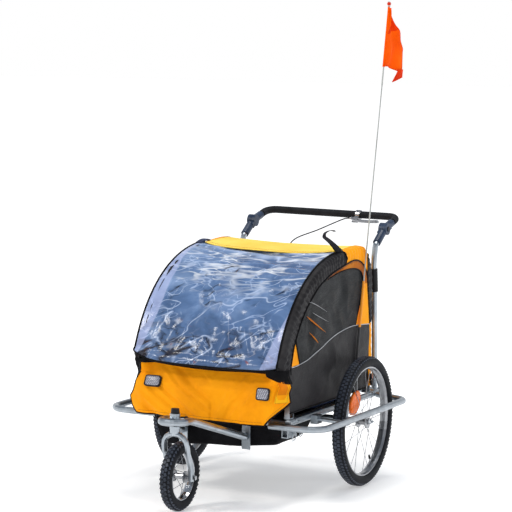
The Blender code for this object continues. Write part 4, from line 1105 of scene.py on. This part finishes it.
# ---------------------------------------------------------------- footwell and seat
# how far the footwell's floor is lifted across its width, as (x, z); it hangs lower toward the left
FOOTWELL_DROP = ((-0.280, 0.060), (-0.262, 0.010), (-0.238, -0.020), (-0.047, -0.003), (0.078, 0.002),
                 (0.218, 0.022), (0.280, 0.050))
TUB_EDGE_Z = 0.318
SEAT_BACK_LOW = Vector((0, 0.243, 0.352))
SEAT_BACK_HIGH = Vector((0, 0.319, 0.782))
CHILD_X = 0.129             # from the middle of the seat to the middle of one child's place
PUFF_FRAMES = 16


def make_tub():
    """The floor cloth: a hammock with a deep footwell in front of the seat."""
    depth = smooth([(-0.284, 0.318), (-0.282, 0.264), (-0.277, 0.215), (-0.262, 0.190), (-0.150, 0.186),
                    (-0.055, 0.192), (-0.020, 0.250), (0.010, 0.272), (0.200, 0.270), (0.380, 0.275),
                    (0.396, 0.300)])
    rows = []
    for p in resample(depth, 130):
        row = []
        for a in across_steps(80):
            u = math.copysign(1 - (1 - abs(a)) ** 2.0, a)
            x = 0.277 * u
            wall = abs(u) ** 22
            low = p.y + (between(FOOTWELL_DROP, x) if p.y < 0.262 and p.x < 0.0 else 0.0)
            crease = 0.003 * folds(u * 0.27 + 0.3, p.x + p.y, 61.0, 10.0, 0.5)
            row.append(Vector((x, p.x - crease * (1 - wall), low + (TUB_EDGE_Z - low) * wall + crease * 0.6)))
        rows.append(row)
    tub = dress(sheet_of("footwell_tub", rows, "black", flip=True), stands_for=["floor_tray"])


def apply_modifiers(obj):
    bpy.context.view_layer.update()
    shown = obj.evaluated_get(bpy.context.evaluated_depsgraph_get())
    mesh = bpy.data.meshes.new_from_object(shown)
    obj.modifiers.clear()
    obj.data = mesh


def puff(obj, pressure, cap):
    """Swell a closed shape like filled cloth, then keep the result as its mesh."""
    remesh = obj.modifiers.new("remesh", "REMESH")
    remesh.mode = "VOXEL"
    remesh.voxel_size = 0.007
    apply_modifiers(obj)
    start = [v.co.copy() for v in obj.data.vertices]
    sim = obj.modifiers.new("sim", "CLOTH")
    sim.settings.quality = 4
    sim.settings.use_pressure = True
    sim.settings.uniform_pressure_force = pressure
    sim.settings.effector_weights.gravity = 0.0
    sim.settings.tension_stiffness = 12
    sim.settings.compression_stiffness = 12
    sim.settings.bending_stiffness = 0.4
    sim.collision_settings.use_collision = False
    sim.point_cache.frame_start = 1
    sim.point_cache.frame_end = PUFF_FRAMES
    for k in range(1, PUFF_FRAMES + 1):
        bpy.context.scene.frame_set(k)
    apply_modifiers(obj)
    for v, rest in zip(obj.data.vertices, start):
        move = v.co - rest
        if move.length > cap:
            v.co = rest + move.normalized() * cap
    bpy.context.scene.frame_set(1)
    for face in obj.data.polygons:
        face.use_smooth = True


def make_pad(name, middle, axes, size, stands_for, cap):
    """A closed crowned pad of three half sizes along its own axes, swollen a little."""
    across, along, up = axes
    rings = []
    for k in range(1, 20):
        turn = -math.pi / 2 + math.pi * k / 20
        level = power(math.sin(turn), 0.8)
        share = math.cos(turn) ** 0.28
        ring = []
        for j in range(56):
            around = math.tau * j / 56
            a = power(math.cos(around), 0.32) * share
            b = power(math.sin(around), 0.32) * share
            ring.append(middle + across * a * size[0] + along * b * size[1] + up * level * size[2])
        rings.append(ring)
    pad = skin_piece(name, rings, "seat", None)
    puff(pad, 4.0, cap)
    dress(pad, "root", [stands_for])
    return pad


def add_strap(bm, path, half, face, thick=0.0018):
    """Webbing along a path, of constant width and thickness."""
    lift = face * thick / 2
    skin(bm, [[p - half + lift, p + half + lift, p + half - lift, p - half - lift] for p in path])


def make_seat():
    make_pad("seat_pad", Vector((0, 0.182, 0.310)), AXES, (0.246, 0.163, 0.014), "seat_cushion", 0.006)
    edges = [[Vector((0.246 * a, y, 0.3245)) for a in across_steps(30)] for y in (0.022, 0.341)]
    cord("seat_pad_piping", edges, 0.0022, "piping")
    lean = (SEAT_BACK_HIGH - SEAT_BACK_LOW).normalized()
    face = Vector((0, -lean.z, lean.y))
    for word, side in SIDES.items():
        place = X_AXIS * side * CHILD_X
        middle = (SEAT_BACK_LOW + SEAT_BACK_HIGH) / 2 + place - face * 0.002
        pad = make_pad(f"back_pad_{word}", middle, (X_AXIS, lean, face), (0.121, 0.205, 0.013), "seat_back",
                       0.007)
        flatten(pad)
        harness = bmesh.new()
        for shift in (-0.050, 0.050):
            path = []
            for k in range(22):
                t = k / 21
                out = 0.0225 + 0.006 * math.sin(math.pi * t)
                path.append(SEAT_BACK_LOW + lean * (0.395 - 0.340 * t) + face * out + place
                            + X_AXIS * shift * (1 - 0.55 * t ** 2))
            add_strap(harness, path, X_AXIS * 0.014, face)
        flatten(solid(f"harness_{word}", harness, "webbing"))
        belt = bmesh.new()
        lap = [place + Vector((a * 0.105, 0.175 - 0.05 * (1 - a * a), 0.330 + 0.003 * (1 - a * a)))
               for a in across_steps(16)]
        add_strap(belt, lap, Y_AXIS * 0.014, Z_AXIS)
        solid(f"lap_belt_{word}", belt, "webbing")
        centre = place + Vector((0, 0.125, 0.334))
        block_piece(f"buckle_{word}", centre, AXES, (0.046, 0.034, 0.009), 0.003, 3, "black_plastic")
        top = centre + Z_AXIS * 0.0052
        block_piece(f"buckle_button_{word}", top, AXES, (0.018, 0.014, 0.004), 0.0012, 2, "tip")


# ---------------------------------------------------------------- straps, flag and cable
def make_straps():
    """A loose wind strap that curls up off the near top corner, and a flat one over the far hoop."""
    path = smooth([(0.292, 0.128, 0.890), (0.291, 0.112, 0.903), (0.290, 0.088, 0.918), (0.289, 0.050, 0.938),
                   (0.288, 0.012, 0.955), (0.287, -0.012, 0.966), (0.286, -0.004, 0.979),
                   (0.286, 0.030, 0.985), (0.287, 0.064, 0.984), (0.287, 0.078, 0.980)], 7)
    across = []
    for k in range(len(path)):
        t = k / (len(path) - 1)
        wide = 0.010 * (1 - t) ** 2.5 + 0.0075
        turn = math.pi * (0.12 + 0.30 * t)
        across.append(Vector((wide * math.sin(turn) * 0.7, wide * math.cos(turn), wide * 0.55 * (1 - t))))
    ribbon("curled_strap", path, across, 0.0022, "webbing", "fold_hoop_right")
    over = smooth([(-0.300, 0.052, 0.862), (-0.300, 0.070, 0.882), (-0.300, 0.110, 0.900),
                   (-0.299, 0.150, 0.907), (-0.298, 0.178, 0.902)], 7)
    ribbon("hoop_strap", over, [X_AXIS * 0.0125] * len(over), 0.0050, "navy_webbing", "fold_hoop_left")
    eyelet = circle(Vector((0.2855, 0.128, 0.9035)), X_AXIS, Y_AXIS, 0.012, 20)
    cord("strap_grommet", [eyelet], 0.0018, "black_plastic", "fold_hoop_right", sides=6, closed=True)


POLE_X = 0.3165
# the pole's curve and the flag's free edge, as (y, z)
POLE = bezier(((0.303, 0.780), (0.345, 1.050), (0.420, 1.450), (0.474, 1.838)), 40)
POLE_TOP = (POLE_X, 0.4738, 1.8392)
HOIST = (1.8226, 1.5993)                # z of the flag's top and foot at the pole
FLAG_EDGE = resample(smooth((
    (0.4760, 1.8190), (0.5060, 1.7863), (0.5417, 1.7590), (0.5896, 1.7353), (0.5998, 1.6981), (0.6243, 1.6664),
    (0.6230, 1.6514), (0.6235, 1.5952), (0.6224, 1.5652),
)), 60)


def pole_y(z):
    """The pole's y at a height."""
    after = next((k for k, p in enumerate(POLE) if p.y >= z), 40)
    low, high = POLE[max(after - 1, 0)], POLE[max(after, 1)]
    return low.x + (high.x - low.x) * (z - low.y) / (high.y - low.y)


def flag_point(u, v):
    """u along the fly from 0 at the pole, v down the hoist from 0 to 1, as (x, y, z)."""
    z = HOIST[0] + (HOIST[1] - HOIST[0]) * v
    p = Vector((pole_y(z) + 0.001, z)).lerp(FLAG_EDGE[round(v * 60)], u)
    lift = 0.0085 * math.sin(math.pi * u) * v ** 3
    sway = (0.010 * math.sin(7.0 * u + 1.2 * v) + 0.005 * math.sin(9.0 * v + 3.0 * u)) * math.sin(math.pi * u)
    return Vector((POLE_X + sway, p.x, p.y + lift))


def make_flag():
    bm = bmesh.new()
    fill_grid(bm, [[flag_point(j / 40, k / 60) for j in range(41)] for k in range(61)])
    main_faces = len(bm.faces)
    corner = []
    for k in range(13):
        t = k / 12
        left = Vector((0.5772, 1.5830)).lerp(Vector((0.5106, 1.5366)), t)
        right = Vector((0.6232, 1.5850)).lerp(Vector((0.6233, 1.5539)), t)
        corner.append([Vector((POLE_X + 0.005 + 0.003 * math.sin(j / 4 + t), *left.lerp(right, j / 12)))
                       for j in range(13)])
    fill_grid(bm, corner)
    flag = dress(as_object("flag_cloth", bm, "flag"), "flag", ["safety_flag"])
    # painted shade: the folded-back corner and a triangle near the top of the fly take the shaded copy of the
    # flag cloth
    flag.data.materials.append(PAINT["flag_shade"])
    for face in flag.data.polygons:
        y, z = face.center.yz
        painted_shade = z > 1.7225 + 0.153 * (y - 0.468) and y > 0.468 + 0.496 * (z - 1.7225)
        face.material_index = int(face.index >= main_faces or painted_shade)
    heights = [1.828 - 0.232 * k / 30 for k in range(31)]
    sleeve = [Vector((POLE_X, pole_y(z) + 0.0005, z)) for z in heights]
    cord("flag_hoist", [sleeve], [0.0042 + 0.0010 * k / 30 for k in range(31)], "flag", "flag", sides=12)
    hems = [[flag_point(j / 40, 0.0) for j in range(1, 41)], [flag_point(1.0, k / 60) for k in range(61)],
            [flag_point(j / 40, 1.0) for j in range(1, 41)], [row[0] for row in corner], corner[-1]]
    cord("flag_hem", hems, 0.0014, "flag_shade", "flag")
    ball = bmesh.new()
    where = Matrix.Translation(POLE_TOP)
    bmesh.ops.create_uvsphere(ball, u_segments=20, v_segments=14, radius=0.0078, matrix=where)
    solid("pole_tip", ball, "tip", "flag")


CABLE = (
    (0.0862, 0.6748, 0.9776), (0.060, 0.658, 0.971), (-0.010, 0.580, 0.931), (-0.075, 0.505, 0.896),
    (-0.100, 0.493, 0.850), (-0.110, 0.491, 0.760), (-0.120, 0.491, 0.620), (-0.140, 0.494, 0.470),
    (-0.175, 0.500, 0.350), (-0.225, 0.490, 0.290), (-0.268, 0.430, 0.272), (-0.278, 0.330, 0.264),
    (-0.284, 0.250, 0.262), (-0.292, 0.2150, 0.262),
)


def make_cable():
    """The brake cable runs from the lever to the left rear wheel, held at both ends."""
    cable = cord("brake_cable_sheath", [smooth(CABLE, 14)], 0.0025, "cable", None, sides=12)
    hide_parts("brake_cable")
    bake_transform(cable)


# ---------------------------------------------------------------- wheels
TYRE_STEPS = 144
TYRE_PROFILE = 28
# lane across the tread, share of a pitch it is shifted, height below the crown, width, length
TREAD_LANES = (
    (-0.72, 0.5, 0.0066, 0.26, 0.62), (-0.27, 0.0, 0.0014, 0.30, 0.66), (0.27, 0.5, 0.0014, 0.30, 0.66),
    (0.72, 0.0, 0.0066, 0.26, 0.62),
)
SPOKE_REFLECTOR = (
    (0.117, 0.377), (0.135, 0.370), (0.145, 0.350), (0.139, 0.320), (0.119, 0.298), (0.093, 0.288),
    (0.069, 0.290), (0.055, 0.306), (0.056, 0.340), (0.079, 0.368), (0.117, 0.377),
)


def outward(angle):
    return Vector((0, math.sin(angle), math.cos(angle)))


def make_tyre(word, body, middle, ring, half, base, blocks, slant):
    """A tyre with raised tread blocks; ring is its outer radius, base the rim's radius."""
    crown = ring - 0.0018
    rings = []
    for step in range(TYRE_STEPS):
        out = outward(math.tau * step / TYRE_STEPS)
        points = []
        for k in range(TYRE_PROFILE):
            turn = math.tau * k / TYRE_PROFILE
            radius = (crown + base) / 2 + (crown - base) / 2 * power(math.cos(turn), 0.85)
            points.append(middle + X_AXIS * half * 0.985 * power(math.sin(turn), 0.72) + out * radius)
        rings.append(points)
    bm = bmesh.new()
    fill_grid(bm, rings, closed=True, looped=True)
    pitch = math.tau / blocks
    for k in range(blocks):
        for lane, shift, drop, wide, long in TREAD_LANES:
            angle = (k + shift) * pitch
            out = outward(angle)
            ahead = Vector((0, out.z, -out.y))
            block_x = (X_AXIS + ahead * math.copysign(slant, lane)).normalized()
            tip = (out + X_AXIS * lane * (0.75 if abs(lane) > 0.5 else 0.12)).normalized()
            along = tip.cross(block_x).normalized()
            place = middle + out * (ring - 0.0030 - drop) + X_AXIS * (lane * half * 0.97)
            add_block(bm, place, (tip.cross(along).normalized(), along, tip),
                      (half * wide * 1.5, pitch * ring * long, 0.0058))
    tyre = solid(f"tread_{word}", bm, "tyre", body, [f"tyre_{word}"])
    # the tread blocks take the lighter tread paint, a painted highlight
    tyre.data.materials.append(PAINT["tread"])
    for face in tyre.data.polygons:
        on_block = face.index >= TYRE_PROFILE * TYRE_STEPS
        face.use_smooth = not on_block
        face.material_index = int(on_block)


def make_valve(word, body, middle, radius, angle):
    out = outward(angle)
    stem, tip, low, high = (middle + out * (radius - step) for step in (0.0, 0.030, 0.020, 0.036))
    cord(f"valve_{word}_stem", [[stem, tip]], 0.0030, "chrome", body, sides=10)
    cord(f"valve_{word}_cap", [[low, high]], [0.0044, 0.0040], "black_plastic", body, sides=10)


def make_spoke_reflector(word, body, x, side):
    """An amber lens clipped between the spokes of a rear wheel."""
    line = resample(smooth(SPOKE_REFLECTOR, 5), 50)[:-1]
    centre = Vector((0.099, 0.333))
    rings = []
    for share, depth in ((1.0, -0.004), (1.0, 0.004), (0.90, 0.0062), (0.45, 0.0078), (0.06, 0.0080)):
        rings.append([Vector((x + side * depth, *(centre + (p - centre) * share))) for p in line])
    skin_piece(f"spoke_reflector_{word}_lens", rings, "orange_reflector", body)


def make_wheels():
    for word, side in SIDES.items():
        middle = Vector((REAR_WHEEL[0] * side, *REAR_WHEEL[1:]))
        body = f"rear_wheel_{word}"
        make_tyre(word, body, middle, 0.250, 0.0235, REAR_RIM_R, 96, 0.25)
        make_valve(word, body, middle, REAR_RIM_R - 0.010, 2.7)
        make_spoke_reflector(word, body, middle.x, side)
        outer = Vector((side, 0, 0))
        nut = bmesh.new()
        bolt(nut, middle + outer * 0.0262, outer, 0.0085, 0.007)
        add_tube(nut, [middle + outer * 0.030, middle + outer * 0.042], 0.0042, 12)
        solid(f"axle_nut_{word}", nut, "zinc", body)
    middle = Vector(FRONT_WHEEL)
    make_tyre("front", "front_wheel", middle, 0.127, 0.0205, FRONT_RIM_R, 44, 0.45)
    make_valve("front", "front_wheel", middle, FRONT_RIM_R - 0.008, 1.9)


# ---------------------------------------------------------------- small metalwork
def make_frame_bolts():
    bolts = bmesh.new()
    # y, z, distance from the middle, radius, height
    for side in (-1, 1):
        for y, z, x, radius, height in (
            (-0.289, 0.320, 0.3165, 0.0050, 0.0050), (0.415, 0.320, 0.3165, 0.0050, 0.0050),
            (-0.250, 0.308, 0.3122, 0.0045, 0.0040), (0.480, 0.308, 0.3122, 0.0045, 0.0040),
        ):
            bolt(bolts, Vector((x * side, y, z)), X_AXIS * side, radius, height)
    for side in (-1, 1):
        for y, z in ((0.478, 0.640), (0.474, 0.700)):
            bolt(bolts, Vector((HOOP_X * side, y + 0.0125, z)), Y_AXIS, 0.0040, 0.0040)
    solid("frame_bolts", bolts, "zinc", smooth_faces=False)


def make_rear_reflector():
    """A round red reflector on the near rear corner, with its black clasp."""
    facing = Vector((0.92, 0.36, 0.12)).normalized()
    middle = Vector((0.3155, 0.404, 0.386))
    across = facing.orthogonal().normalized()
    other = facing.cross(across)
    for part, paint, profile in (
        ("frame", "black_plastic", ((0.0125, -0.006), (0.0125, 0.003), (0.0105, 0.0042), (0.0100, 0.0015))),
        ("lens", "red_reflector", ((0.0100, 0.0016), (0.0100, 0.0036), (0.0060, 0.0052), (0.0010, 0.0056))),
    ):
        rings = [circle(middle + facing * depth, across, other, radius, 28) for radius, depth in profile]
        skin_piece(f"side_reflector_{part}", rings, paint, "fold_hoop_right")
    block_piece("rear_clasp", middle + Vector((0.001, -0.001, -0.024)), (facing, across, other),
                (0.008, 0.020, 0.016), 0.002, 2, "black_plastic", "fold_hoop_right")


def make_details():
    make_frame_bolts()
    # split rings of the tow pins, hanging under the near rail
    rings = [circle(Vector((0.318, y, z)), Y_AXIS, Vector((0.004 / radius, 0, 1)), radius, 24)
             for y, z, radius in ((-0.300, 0.258, 0.016), (-0.238, 0.262, 0.013))]
    cord("split_rings", rings, 0.0014, "zinc", closed=True)
    make_rear_reflector()

    # a second small lock knob under the far end of the front panel
    knob = bmesh.new()
    for ends, radii in (((-0.352, -0.372), (0.006, 0.006)), ((-0.372, -0.384), (0.0125, 0.0135)),
                        ((-0.384, -0.390), (0.0125, 0.007))):
        add_tube(knob, [Vector((-0.079, y, 0.300)) for y in ends], radii, 18)
    solid("floor_knob", knob, "black_plastic")

    # C-shaped brackets inside the rear wheels
    for word, side in SIDES.items():
        path = smooth([(0.344 * side, y, z) for y, z in ((0.085, 0.388), (0.050, 0.345), (0.040, 0.290),
                                                         (0.070, 0.254), (0.121, 0.243), (0.166, 0.250))])
        cord(f"wheel_guard_{word}", [path], 0.0060, "zinc", sides=12)


# ---------------------------------------------------------------- everything
make_camera()
make_floor()
make_light()
paint_cad()
make_cable()
make_tub()
make_seat()
make_front_panel()
make_front_strip()
make_tab()
make_front_reflectors()
make_front_gussets()
make_roof()
make_back()
make_cover()
for word, side in SIDES.items():
    make_side(word, side)
make_straps()
make_flag()
make_wheels()
make_details()
